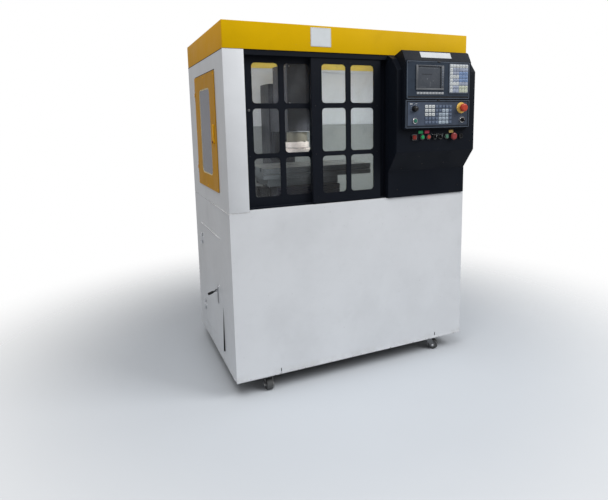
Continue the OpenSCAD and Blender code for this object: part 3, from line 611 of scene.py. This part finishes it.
    def done(self, body, *replaced):
        me = bpy.data.meshes.new(self.name)
        me.from_pydata(self.v, [], self.f)
        for m in self.mats:
            me.materials.append(m)
        me.polygons.foreach_set("material_index", self.fm)
        me.polygons.foreach_set("use_smooth", [True] * len(self.f))
        bm = bmesh.new()
        bm.from_mesh(me)
        bmesh.ops.recalc_face_normals(bm, faces=bm.faces[:])
        bm.to_mesh(me)
        bm.free()
        me.set_sharp_from_angle(angle=math.radians(34))
        me.update()
        o = bpy.data.objects.new(self.name, me)
        sc.collection.objects.link(o)
        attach(o, body)
        if replaced:
            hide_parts(*replaced)
        return o


FRONT, LEFT, REAR, RIGHT, UP, DOWN = (0, -1, 0), (-1, 0, 0), (0, 1, 0), (1, 0, 0), (0, 0, 1), (0, 0, -1)

# keypads
k = Kit("key_field")
k.plate(on_y, 1145.5, 1266.5, 1466.5, 1613.5, 3, PY - 0.7, PY, m_membrane)
rnd = random.Random(7)
for i in range(6):
    for j in range(8):
        x, z, t = 1148 + 116 * (i + 0.5) / 6, 1469 + 142 * (j + 0.5) / 8, 7 - j
        if t == 0 or i == 0:
            m = m_key_w
        elif i >= 3 and 2 <= t <= 4:
            m = m_key_b
        elif i >= 3 and t >= 6:
            m = m_key_y
        elif t in (3, 5) and i < 3:
            m = m_key_w
        else:
            m = m_key_m
        k.box(x - 8.7, x + 8.7, PY - 2.4, PY - 0.5, z - 7.9, z + 7.9, m, 0.9)
        w = rnd.choice((2.2, 3.4, 4.6))
        k.box(x - w, x + w, PY - 2.48, PY - 2.3, z - 0.9, z + 0.9, m_ink)
        if rnd.random() < 0.4:
            k.box(x + 2.5, x + 5.5, PY - 2.48, PY - 2.3, z - 5.2, z - 4.0, m_ink)
for i in range(9):
    x = 943 + 168 * (i + 0.5) / 9
    k.box(x - 8.0, x + 8.0, PY - 2.2, PY, 1459.2, 1470.4, m_key_soft, 0.8)
for i in range(8):
    for j in range(5):
        x, z, t = 994 + 172 * (i + 0.5) / 8, 1309 + 99 * (j + 0.5) / 5, 4 - j
        if i < 3:
            m = m_key_w if t < 3 else m_key_d
        elif i == 3 or i == 7:
            m = m_key_d
        elif i == 4:
            m = m_key_l if t >= 2 else m_key_d
        else:
            m = m_key_l if t >= 1 else m_key_d
        k.box(x - 8.8, x + 8.8, PY - 2.2, PY, z - 7.8, z + 7.8, m, 0.9)
        if m is not m_key_d:
            k.box(x - 3.2, x + 3.2, PY - 2.28, PY - 2.1, z - 1.0, z + 1.0, m_ink)
        else:
            k.box(x - 2.6, x + 2.6, PY - 2.28, PY - 2.1, z - 0.7, z + 0.7, m_key_m)
k.done("cabinet", "membrane_keys")

# bezels of the controls
k = Kit("control_bezels")
for x, ri in ((1002, 10.4), (1041, 10.4), (1081, 10.4), (1117, 10.4), (1157, 10.4), (1196, 8.4)):
    k.lathe((x, CY, RZ), FRONT, [(ri, 0), (14.5, 0), (14.5, 4.2), (13.4, 5.8), (ri + 0.6, 6.0), (ri, 5.4)], m_blackp, 44, True)
    k.lathe((x, CY, RZ), FRONT, [(12.5, 5.5), (12.7, 6.25), (13.2, 6.25), (13.5, 5.2)], m_chrome, 44, True)
k.ring(on_y, 937, 967, RZ - 15, RZ + 15, 3, 4.4, CY - 6, CY, m_blackp)
k.ring(on_y, 938.2, 965.8, RZ - 13.8, RZ + 13.8, 2.4, 0.7, CY - 6.2, CY - 5.5, m_zinc)
k.lathe((1250, CY, RZ), FRONT, [(0, 5.0), (5.2, 5.0), (6.0, 4.0), (8, 4.0), (8.4, 7.6), (12.5, 8), (14, 6.5), (14, 0)], m_blackp, 44)
k.lathe((936, PY, 1327), FRONT, [(9.9, 0), (14.5, 0), (14.5, 4.5), (13.0, 6.0), (10.6, 6.0), (9.9, 5.3)], m_chrome, 48, True)
k.lathe((1224, PY, 1391), FRONT, [(9.4, 0), (28, 0), (28, 3.4), (26.6, 5.0), (10.2, 5.0), (9.4, 4.4)], m_estop_y, 64, True)
k.lathe((1233, PY, 1329), FRONT, [(11, 0), (15.4, 0), (15.4, 2.0), (14.4, 3.0), (11.6, 3.0), (11, 2.4)], m_chrome, 48, True)
k.done("cabinet", "control_collars")

# blank plates
k = Kit("blank_plates")
k.plate(on_y, 424, 530, 1684, 1771, 4, -1.5, 0, m_label, ease=0.4)
k.ring(on_y, 426.2, 527.8, 1686.2, 1768.8, 3, 1.0, -1.75, -1.4, m_badge_edge)
SL = Vector((0, 24, 46)).normalized()
SN = Vector((0, -46, 24)).normalized()


def on_hood(a, b, d):
    return M(a, BY + SL.y * b + SN.y * d, 1625 + SL.z * b + SN.z * d)


k.plate(on_hood, 979, 1168, 17, 50, 2.5, 1.2, 0.0, m_label_b, ease=0.3)
k.ring(on_hood, 981, 1166, 19, 48, 1.8, 0.6, 1.35, 1.15, m_badge_edge)
for x, m in ((994, m_tag_g), (1033, m_tag_r), (1188, m_tag_y)):
    k.plate(on_y, x - 14, x + 14, 1262, 1277, 2, CY - 1.0, CY, m, ease=0.3)
k.done("cabinet", "label_plates")

# display and operator panel trim
k = Kit("panel_trim")
k.box(938, 950.8, PY - 3.7, PY - 2.8, 1481, 1602.5, m_bezel, 0.3)
k.box(1092.2, 1108.5, PY - 3.7, PY - 2.8, 1481, 1602.5, m_bezel, 0.3)
k.box(950.8, 1092.2, PY - 3.7, PY - 2.8, 1597.2, 1602.5, m_bezel, 0.3)
k.box(938, 1108.5, PY - 4.2, PY - 2.8, 1480.4, 1488.6, m_bezel_l, 0.6)
k.box(1097, 1104, PY - 4.0, PY - 3.5, 1500, 1586, m_trim_and_highlight, 0.2)
for i in range(7):
    k.box(1098, 1103, PY - 4.3, PY - 3.9, 1503.5 + 12 * i, 1509.5 + 12 * i, m_key_side, 0.15)
# faint traces on the dark screen
k.box(975, 1036, PY + 0.8, PY + 1.02, 1556.0, 1559.6, m_trace_d)
for x0, x1, z0, z1 in ((955, 1074, 1588.0, 1588.9), (1026.5, 1027.5, 1496, 1522), (1006, 1012, 1534, 1536.4), (1042, 1047, 1525, 1527), (957, 1000, 1494, 1494.9)):
    k.box(x0, x1, PY + 0.8, PY + 1.02, z0, z1, m_trace)
# trim rings around the panels, painted lighter as a highlight
k.ring(on_y, 886.6, 1275.4, 1437.6, 1621.4, 4.6, 3.4, PY - 1.3, PY + 0.2, m_trim_and_highlight)
k.plate(on_y, 891, 1271, 1441.4, 1449.6, 1.5, PY - 0.7, PY + 0.2, m_blackp)
k.ring(on_y, 1140, 1271.5, 1461, 1616, 3, 1.2, PY - 0.9, PY + 0.2, m_blackp)
k.ring(on_y, 880.6, 1278.4, 1291.6, 1430.4, 4.6, 3.0, PY - 1.1, PY + 0.2, m_trim_and_highlight)
k.ring(on_y, 890.6, 1268.4, 1301.6, 1422.4, 2.5, 1.5, PY - 0.6, PY + 0.2, m_blackp)
for z in (1619.5, 1428.5):
    k.box(1069, 1086, PY - 2.2, PY - 0.2, z - 3, z + 3, m_blackp, 0.8)
for x, z in ((894, 1613.5), (1267.5, 1613.5), (894, 1445.5), (1267.5, 1445.5), (886.5, 1424.8), (1272.5, 1424.8), (886.5, 1297.4), (1272.5, 1297.4)):
    k.screw((x, PY - 0.1, z), FRONT, 2.8, 1.6, m_blackp)
# dial marks
for n in range(9):
    k.tick(933, 1387, -120 + 30 * n, 18.5, 22.5 if n % 2 == 0 else 21.0, 0.9, PY - 0.35, PY + 0.1, m_mark)
for n in range(11):
    k.tick(1233, 1329, -135 + 27 * n, 17.5, 20.5, 0.7, PY - 0.35, PY + 0.1, m_mark)
for x in (1081, 1117):
    for a in (-45, 45):
        k.tick(x, RZ, a, 16.2, 21.0, 1.3, CY - 0.35, CY + 0.1, m_mark)
k.plate(on_y, 905, 921, 1409, 1413.5, 1, PY - 0.35, PY + 0.1, m_mark)
k.plate(on_y, 938, 948, 1411, 1413.5, 0.8, PY - 0.35, PY + 0.1, m_mark)
# console screws
NS = (0, -103, -77)
for x, y, z in ((920, -19.5, 1081.4), (1040, -34.6, 1101.6), (1180, -34.6, 1101.6), (1312, -19.5, 1081.4)):
    k.screw((x, y, z), NS, 3.8, 1.6, m_blackp)
for x, z in ((903, 967.5), (1300, 967.5)):
    k.screw((x, -8, z), FRONT, 3.8, 1.6, m_blackp)
k.screw((1312, CY, 1215.4), FRONT, 3.8, 1.6, m_blackp)
k.done("cabinet")

# pointers on the knobs and selectors
for name, x, z, y, r0, r1, w in (("mode_knob", 933, 1387, PY - 19.5, 2.5, 10.6, 1.4), ("override_knob", 1233, 1329, PY - 20.5, 0.8, 5.6, 1.2),
                                 ("selector_a", 1081, RZ, CY - 19, 1.0, 8.6, 1.3), ("selector_b", 1117, RZ, CY - 19, 1.0, 8.6, 1.3)):
    k = Kit(name + "_pointer")
    k.tick(x, z, 0, r0, r1, w, y - 0.25, y + 0.2, m_mark)
    if name.endswith("knob"):
        r = 15 if name == "mode_knob" else 10
        h = 19 if name == "mode_knob" else 17
        for n in range(18):
            t = 2 * math.pi * n / 18
            y0 = PY - (0.5 if name == "mode_knob" else 3.5)
            k.box(x + (r - 0.4) * math.cos(t) - 0.7, x + (r - 0.4) * math.cos(t) + 0.7, y0 - h * 0.42, y0 - 1.0,
                  z + (r - 0.4) * math.sin(t) - 0.7, z + (r - 0.4) * math.sin(t) + 0.7, m_blackp, 0.3)
    k.done(name)

# ------------------------------------------------------------------ windows
for body, x0, y0, px in (("left_door", LDX, LDY, (41, 199)), ("right_door", RDX, RDY, (55, 213))):
    k = Kit(body + "_seals")
    for p in px:
        for z0, z1 in WINZ:
            k.ring(on_y, x0 + p + 0.2, x0 + p + PW - 0.2, z0 + 0.2, z1 - 0.2, PR - 0.2, 0.9, y0 + 1.9, y0 + 2.95, m_rubber_and_shade)
    for x in (x0 + 20, x0 + DW - 20):
        for z in (1175.5, 1408.5):
            if body == "left_door" and x < x0 + 30 and z > 1300:
                continue
            k.screw((x, y0 + 0.05, z), FRONT, 2.6, 1.3, m_blackp)
    k.done(body)
k = Kit("side_door_trim")
k.ring(on_x, 290.2, 554.8, 1068.2, 1510.8, 33.8, 6.5, -3.7, -3.05, m_seal, 10)
for y, z in ((190, 1009), (190, 1568), (655, 1009), (655, 1568), (655, 1290), (420, 1568), (420, 1009)):
    k.screw((-5.0, y, z), LEFT, 4.0, 1.8, m_handle)
k.done("side_door")
k = Kit("side_handle_pivot")
k.lathe((-11.0, 224, 1242), LEFT, [(0, 4.2), (4.6, 4.2), (6.6, 3.0), (7.0, 0)], m_brown, 28)
k.done("side_handle")

# ------------------------------------------------------------------ lower side door
k = Kit("latch_parts")
k.plate(on_x, 323.2, 332.8, 388.3, 444.7, 1.5, -1.75, -1.1, m_blackp)
# proud top edge of the door, in the brighter lamp white as a painted highlight
k.box(-4.2, 0.2, 224, 694, 754.0, 757.4, m_lamp_white_and_highlight, 0.8)
# bent-out lower front corner of the door; its dark front and bottom faces are painted shade for the gap behind it
corner = [M(-8.5, 222.9, 153), M(-6.2, 222.9, 250), M(-0.4, 222.9, 390), M(0.4, 222.9, 390), M(0.4, 222.9, 153), M(-0.4, 430, 153), M(-0.4, 380, 270)]
k.raw(corner, [(0, 1, 2, 3, 4)], m_rubber_and_shade)
k.raw(corner, [(0, 5, 6, 1), (1, 6, 2)], m_white)
k.raw(corner, [(0, 4, 5)], m_rubber_and_shade)
k.lathe((0, 293, 488), LEFT, [(0, 2.4), (2.0, 2.4), (2.2, 1.6), (2.6, 3.0), (6.0, 3.0), (7.2, 2.0), (7.4, 0)], m_chrome, 32)
for z in (386, 474):
    k.screw((-3.0, 328, z - (1.5 if z > 400 else 1.0)), LEFT, 2.6, 1.4, m_zinc)
k.done("lower_door")
k = Kit("latch_grip")
LA = math.radians(18)
LD = (-math.cos(LA), 0, -math.sin(LA))
k.lathe((-10, 328, 453), LD, [(0, 3.2), (3.6, 3.2), (3.8, 14), (4.6, 17), (6.4, 20), (7.2, 25), (7.4, 36), (6.8, 43), (5.0, 47), (0, 48.6)], m_blackp, 28)
k.lathe((-10, 328 - 5.8, 453), REAR, [(2.6, 0), (4.6, 0), (5.2, 0.6), (5.2, 11.0), (4.6, 11.6), (2.6, 11.6)], m_blackp, 32, True)
k.done("latch_lever", "lower_latch_lever")

# ------------------------------------------------------------------ cabinet sheets
W, D = 1350.0, 870.0
k = Kit("roof_shell")
lo = [rr_loop(e, W - e, e, D - e, max(4 - e, 1.0), 5) for e in (0, 0, 0.7, 2.4)] + [rr_loop(3, W - 3, 3, D - 3, 1.5, 5)] * 2
hz = (1660, 1777.6, 1779.3, 1780, 1777, 1660)
n = len(lo[0])
vv = [on_z(a, b, z) for l, z in zip(lo, hz) for a, b in l]
ff = [(i * n + q, i * n + (q + 1) % n, j * n + (q + 1) % n, j * n + q) for i, j in ((0, 1), (1, 2), (2, 3), (4, 5), (5, 0)) for q in range(n)]
k.raw(vv, ff + [tuple(range(3 * n, 4 * n)), tuple(range(4 * n, 5 * n))], m_yellow)
k.done("cabinet", "roof_cap")
k = Kit("upper_sheets")
lo = [rr_loop(3.4, D - 3.4, 919, 1660, 0.8, 3), rr_loop(225, 660, 1025, 1555, 1.5, 3)]
n = len(lo[0])
vv = [on_x(a, b, d) for d in (0, 3) for l in lo for a, b in l]
ff = [(i * n + q, i * n + (q + 1) % n, j * n + (q + 1) % n, j * n + q) for i, j in ((0, 1), (1, 3), (3, 2), (2, 0)) for q in range(n)]
k.raw(vv, ff, m_white_up)
k.box(0, W, D - 3, D, 919, 1660, m_white_up, 1.0)
k.box(W - 3, W, 3.4, D - 3.4, 919, 1660, m_white_up, 1.0)
k.box(0, 97, 0, 3, 919, 1660, m_white_up, 1.0)
k.box(94, 97, 2.5, 66, 926, 1660, m_white_up, 0.6)
k.done("cabinet", "upper_cabinet")
k = Kit("sheet_details")
k.box(0.2, 2.6, 220.05, 221.9, 384, 759.6, m_white_up)
k.box(0.2, 2.6, 221.9, 698, 757.9, 759.9, m_white_up)
k.box(3.6, W - 3.6, 860.0, 866.8, 1655, 1673, m_white_up, 1.0)
# inner rim of the roof cap in the lighter yellow copy, painted light
k.box(3.6, W - 3.6, 864.6, 866.9, 1673.5, 1760, m_yellow_rim_painted_light, 0.5)
# slim strips along the seam in the brighter lamp white: painted highlight lines
k.box(-3.0, 0.3, 2, 420, 914.8, 917.6, m_lamp_white_and_highlight, 0.6)
k.box(2, 97, -1.2, 0.3, 916.2, 917.6, m_lamp_white_and_highlight, 0.4)
# thin dark strips under the roof band and above the side door opening: painted shadow lines of the gaps
k.box(-0.35, 0.3, 2, D - 2, 1656.8, 1660, m_rubber_and_shade)
k.box(-0.35, 0.3, 177, 668, 1581, 1587.5, m_rubber_and_shade)
k.box(2, 97, -0.35, 0.3, 1658.4, 1660, m_rubber_and_shade)
k.box(1, W - 1, -1.1, 0.3, 80.4, 92, m_white, 0.9)
k.box(-1.1, 0.3, 1, D - 1, 80.4, 92, m_white, 0.9)
k.box(W - 0.3, W + 1.1, 1, D - 1, 80.4, 92, m_white, 0.9)
k.box(1, W - 1, D - 0.3, D + 1.1, 80.4, 92, m_white, 0.9)
# lip seals of the sliding doors, on the right jamb and on the front post
k.box(805, 819, 33.4, 36.4, 927, 1635.4, m_rubber_and_shade, 0.8)
k.box(798.5, 806, 34.2, 35.4, 927, 1635.4, m_rubber_and_shade, 0.4)
k.box(97.1, 104, 61.6, 64.8, 927, 1635.4, m_rubber_and_shade, 0.8)
k.box(103, 110, 62.2, 63.4, 927, 1635.4, m_rubber_and_shade, 0.4)
for x, z in ((229, 90), (1169.4, 93)):
    k.plate(on_y, x - 1.7, x + 1.7, z + 3, z + 22, 1.6, -1.35 if z < 91 else -1.35, 0.2, m_rubber_and_shade)
for x in (30, 240, 450, 660, 870, 1080, 1320):
    for z in (108, 900, 938, 1642):
        k.screw((x, D, z), REAR, 4.2, 2.2, m_zinc)
for z in (300, 500, 700, 1120, 1300, 1480):
    for x in (18, 1332):
        k.screw((x, D, z), REAR, 4.2, 2.2, m_zinc)
for y in (30, 230, 435, 640, 840):
    for z in (108, 900, 938, 1642):
        k.screw((W, y, z), RIGHT, 4.2, 2.2, m_zinc)
for i in range(7):
    # pressed louvre over each vent slot
    z = 608 + 24 * i
    verts = [M(998, D, z + 7), M(1242, D, z + 7), M(1242, D + 7, z - 3), M(998, D + 7, z - 3), M(998, D + 5.6, z - 3.6), M(1242, D + 5.6, z - 3.6), M(998, D, z + 5.2), M(1242, D, z + 5.2), M(998, D, z - 3.6), M(1242, D, z - 3.6)]
    k.raw(verts, [(0, 1, 2, 3), (3, 2, 5, 4), (4, 5, 7, 6), (0, 3, 4, 6), (1, 7, 5, 2), (0, 6, 7, 1)], m_white)
    k.raw([verts[3], verts[0], verts[8]], [(0, 1, 2)], m_white)
    k.raw([verts[2], verts[1], verts[9]], [(0, 1, 2)], m_white)
k.done("cabinet")

k = Kit("roof_details")
for x in (40, 360, 675, 990, 1310):
    for y in (28, 842):
        k.screw((x, y, 1780), UP, 4.6, 2.2, m_handle)
for y in (235, 435, 640):
    for x in (28, 1322):
        k.screw((x, y, 1780), UP, 4.6, 2.2, m_handle)
k.box(672, 678, 12, 858, 1779.5, 1781.2, m_yellow, 0.7)
k.done("cabinet")

k = Kit("gland_details")
k.lathe((850, 870, 300), REAR, [(16.2, 6), (17.6, 6.4), (17.6, 8.0), (14.5, 8.6), (14.5, 15.9)], m_blackp, 36)
k.lathe((850, 870, 300), REAR, [(8.2, 24.0), (12.2, 24.0), (13.2, 23.4), (13.6, 22.0)], m_blackp, 36)
k.done("cabinet")

k = Kit("electrics_details")
for x, z in ((912, 212), (1308, 212), (912, 568), (1308, 568)):
    k.screw((x, 634, z), FRONT, 5.5, 2.6, m_zinc)
k.ring(on_y, 930, 1290, 232, 548, 6, 2.5, 633.2, 634.2, m_tray)
k.lathe((1110, 634, 560), FRONT, [(0, 4), (4, 4), (4.2, 3), (9, 3), (10, 2), (10, 0)], m_chrome, 28)
k.done("cabinet")

# ------------------------------------------------------------------ mill
k = Kit("cartridge_flange")
k.lathe((501, 400, 0), UP, [(58.6, 1276), (58.6, 1223)], m_olive, 72)
k.lathe((501, 400, 0), UP, [(58.4, 1222.6), (65.4, 1222.6), (66.6, 1221.4), (66.6, 1193), (65.6, 1191.8), (61.6, 1191.8)], m_turned_painted_reflection, 72)
k.lathe((501, 400, 0), UP, [(61.6, 1192), (61.6, 1188)], m_blackp, 72)
k.lathe((501, 400, 0), UP, [(61.5, 1188.6), (70.6, 1188.6), (72.1, 1187.2), (72.1, 1162), (70.4, 1159.5), (33, 1159.5)], m_turned_painted_reflection, 72)
for n in range(8):
    t = 2 * math.pi * (n + 0.5) / 8
    k.screw((501 + 62.6 * math.cos(t), 400 + 62.6 * math.sin(t), 1222.6), UP, 3.2, 4.5, m_blackp, 16)
for n in range(6):
    t = 2 * math.pi * (n + 0.25) / 6
    k.screw((501 + 52 * math.cos(t), 400 + 52 * math.sin(t), 1159.6), DOWN, 4.2, 4.0, m_blackp, 16)
k.box(427.5, 574.5, 339.2, 340.2, 1277.5, 1281, m_zinc, 0.3)
for x, z in ((440, 1436), (562, 1436), (440, 1630), (562, 1630)):
    k.screw((x, 340, z), FRONT, 3.4, 1.8, m_zinc)
for z in (1436, 1630):
    for y in (360, 550):
        k.screw((426, y, z), LEFT, 3.4, 1.8, m_zinc)
        k.screw((576, y, z), RIGHT, 3.4, 1.8, m_zinc)
k.done("head")

k = Kit("saddle_bellows")
for n in range(5):
    k.box(338, 711, 283.5, 290.2, 909.5 + 15 * n, 923.0 + 15 * n, m_bellows, 4.0, 3)
k.done("saddle")

k = Kit("x_motor_body")
k.box(327, 335, 387, 443, 924, 980, m_motor, 2.0)
k.box(270, 327.5, 389, 441, 926, 978, m_motor, 6.0, 3)
k.box(255.3, 270.5, 391, 439, 928, 976, m_blackp, 5.0, 3)
k.box(258, 282, 404, 426, 974, 982, m_blackp, 2.0)
for y in (393, 437):
    for z in (930, 974):
        k.screw((327, y, z), LEFT, 3.4, 3.4, m_zinc)
k.done("saddle", "x_motor")
k = Kit("fixed_motors")
k.box(545, 595, 222, 230, 852, 898, m_motor, 2.0)
k.box(547, 593, 164, 222.5, 854, 896, m_motor, 6.0, 3)
k.box(549, 591, 150.3, 164.5, 856, 894, m_blackp, 5.0, 3)
k.box(558, 582, 152, 176, 848, 856, m_blackp, 2.0)
k.box(473, 529, 584, 640, 1560, 1568, m_motor, 2.0)
k.box(475, 527, 586, 638, 1567.5, 1626, m_motor, 6.0, 3)
k.box(477, 525, 588, 636, 1625.5, 1639.7, m_blackp, 5.0, 3)
for x in (479, 523):
    for y in (590, 634):
        k.screw((x, y, 1568), UP, 3.4, 3.4, m_zinc)
k.done("cabinet", "axis_motors")

# chamber lamps under the roof
k = Kit("lamp_housing")
for x, y in ((1040, 300), (200, 330)):
    k.box(x - 140, x + 140, y - 25, y + 25, 1742, 1777, m_white_up, 4.0, 3)
    k.box(x - 130, x + 130, y - 19, y + 19, 1738.5, 1743, m_lamp_white_and_highlight, 1.5)
k.done("cabinet")

# ------------------------------------------------------------------ casters
for tag, x, y, a in (("fl", 170, 50, 0), ("fr", W - 182, 50, 50), ("rl", 170, D - 50, 0), ("rr", W - 182, D - 50, 0)):
    t = math.radians(a)
    ax = (math.cos(t), math.sin(t), 0)
    wx, wy = x + 22 * math.sin(t), y - 22 * math.cos(t)
    k = Kit("caster_bolts_" + tag)
    for s in (1, -1):
        k.hexhead((wx + s * 21.0 * ax[0], wy + s * 21.0 * ax[1], 27), (s * ax[0], s * ax[1], 0), 7.2, 4.6, m_steel)
    k.lathe((x, y, 66), DOWN, [(17.5, -0.2), (19, 0.6), (19, 3.2), (16, 4.2), (9.8, 4.2)], m_zinc, 36)
    k.done("caster_" + tag)
    k = Kit("wheel_core_" + tag)
    for s in (1, -1):
        k.lathe((wx, wy, 27), (s * ax[0], s * ax[1], 0), [(9.1, 17.4), (10.2, 16.0), (11.0, 14.6), (15.6, 14.4), (17.2, 15.2), (17.9, 14.2)], m_core, 40)
    k.done("wheel_" + tag)

# ------------------------------------------------------------------ light and stage
sc.view_settings.view_transform = "Standard"
world = bpy.data.worlds.new("studio")
sc.world = world
world.use_nodes = True
wn = world.node_tree
bg = wn.nodes["Background"]
bg.inputs[0].default_value = (1.0, 0.982, 0.972, 1.0)
bg.inputs[1].default_value = 0.362
back = wn.nodes.new("ShaderNodeBackground")
back.inputs[0].default_value = (1.0, 1.0, 1.0, 1.0)
back.inputs[1].default_value = 1.0
path = wn.nodes.new("ShaderNodeLightPath")
wmix = wn.nodes.new("ShaderNodeMixShader")
wn.links.new(path.outputs["Is Camera Ray"], wmix.inputs[0])
wn.links.new(bg.outputs[0], wmix.inputs[1])
wn.links.new(back.outputs[0], wmix.inputs[2])
wn.links.new(wmix.outputs[0], wn.nodes["World Output"].inputs[0])


def area(name, loc, target, size, power, color=(1, 1, 1), size_y=None):
    d = bpy.data.lights.new(name, "AREA")
    d.shape = "RECTANGLE"
    d.size = size
    d.size_y = size_y or size
    d.energy = power
    d.color = color
    o = bpy.data.objects.new(name, d)
    sc.collection.objects.link(o)
    o.location = loc
    o.rotation_euler = (Vector(target) - Vector(loc)).to_track_quat("-Z", "Y").to_euler()
    return o


area("key", (4.3, -3.8, 4.8), (0.1, -0.3, 0.8), 3.6, 302, (0.99, 0.99, 0.99))
area("top", (-1.3, -1.3, 4.4), (-1.1, -0.7, 0.0), 3.2, 100, (0.98, 0.98, 0.98))
area("chamber_lamp_r", M(1040, 300, 1736), M(950, 620, 950), 0.26, 3.8, (0.95, 0.975, 1.0), 0.036)
area("chamber_lamp_l", M(200, 330, 1736), M(330, 860, 1050), 0.26, 0.8, (0.95, 0.975, 1.0), 0.036)
for name, loc, aim, size, power, tint in (("side_fill", M(22, 430, 1240), M(600, 430, 1240), 0.24, 1.3, (0.97, 0.98, 1.0)),
                                          ("tray_fill", M(1180, 300, 1180), M(900, 480, 930), 0.20, 2.0, (0.96, 1.0, 0.92)),
                                          ("bed_fill", M(250, 120, 1010), M(330, 420, 960), 0.14, 0.35, (0.97, 0.98, 1.0)),
                                          ("wall_fill", M(140, 290, 1340), M(150, 866, 1190), 0.16, 0.8, (0.96, 0.975, 1.0))):
    fill = area(name, loc, aim, size, power, tint)
    fill.visible_camera = False
    fill.visible_glossy = False
spot = bpy.data.lights.new("work_light", "SPOT")
spot.energy = 24.0
spot.color = (1.0, 0.97, 0.94)
spot.spot_size = math.radians(17.5)
spot.spot_blend = 0.9
spot.shadow_soft_size = 0.03
so = bpy.data.objects.new("work_light", spot)
sc.collection.objects.link(so)
so.location = M(640, 95, 1600)
so.rotation_euler = (M(501, 400, 1176) - M(640, 95, 1600)).to_track_quat("-Z", "Y").to_euler()

fm = bpy.data.meshes.new("floor")
fm.from_pydata([(-30, -30, 0), (30, -30, 0), (30, 30, 0), (-30, 30, 0)], [], [(0, 1, 2, 3)])
floor = bpy.data.objects.new("floor", fm)
sc.collection.objects.link(floor)
kf = Mat("pale_floor")
kf.set(color=(0.585, 0.61, 0.64), spec=0.2)
kf.color(kf.mix(kf.rng(kf.noise(0.8, 4.0), 0.3, 0.7), (0.585, 0.62, 0.663), (0.57, 0.605, 0.648)))
kf.rough(kf.rng(kf.noise(3.0, 4.0), 0.3, 0.7, 0.55, 0.7))
vl = kf.nt.nodes.new("ShaderNodeVectorMath")
vl.operation = "LENGTH"
kf.link(kf.tc.outputs["Object"], vl.inputs[0])
clear = kf.nt.nodes.new("ShaderNodeBsdfTransparent")
clear.inputs[0].default_value = (1.0, 1.0, 1.0, 1.0)
fmix = kf.nt.nodes.new("ShaderNodeMixShader")
kf.link(kf.rng(vl.outputs["Value"], 0.95, 2.7), fmix.inputs[0])
kf.link(kf.b.outputs[0], fmix.inputs[1])
kf.link(clear.outputs[0], fmix.inputs[2])
kf.link(fmix.outputs[0], kf.out.inputs[0])
fm.materials.append(kf.m)
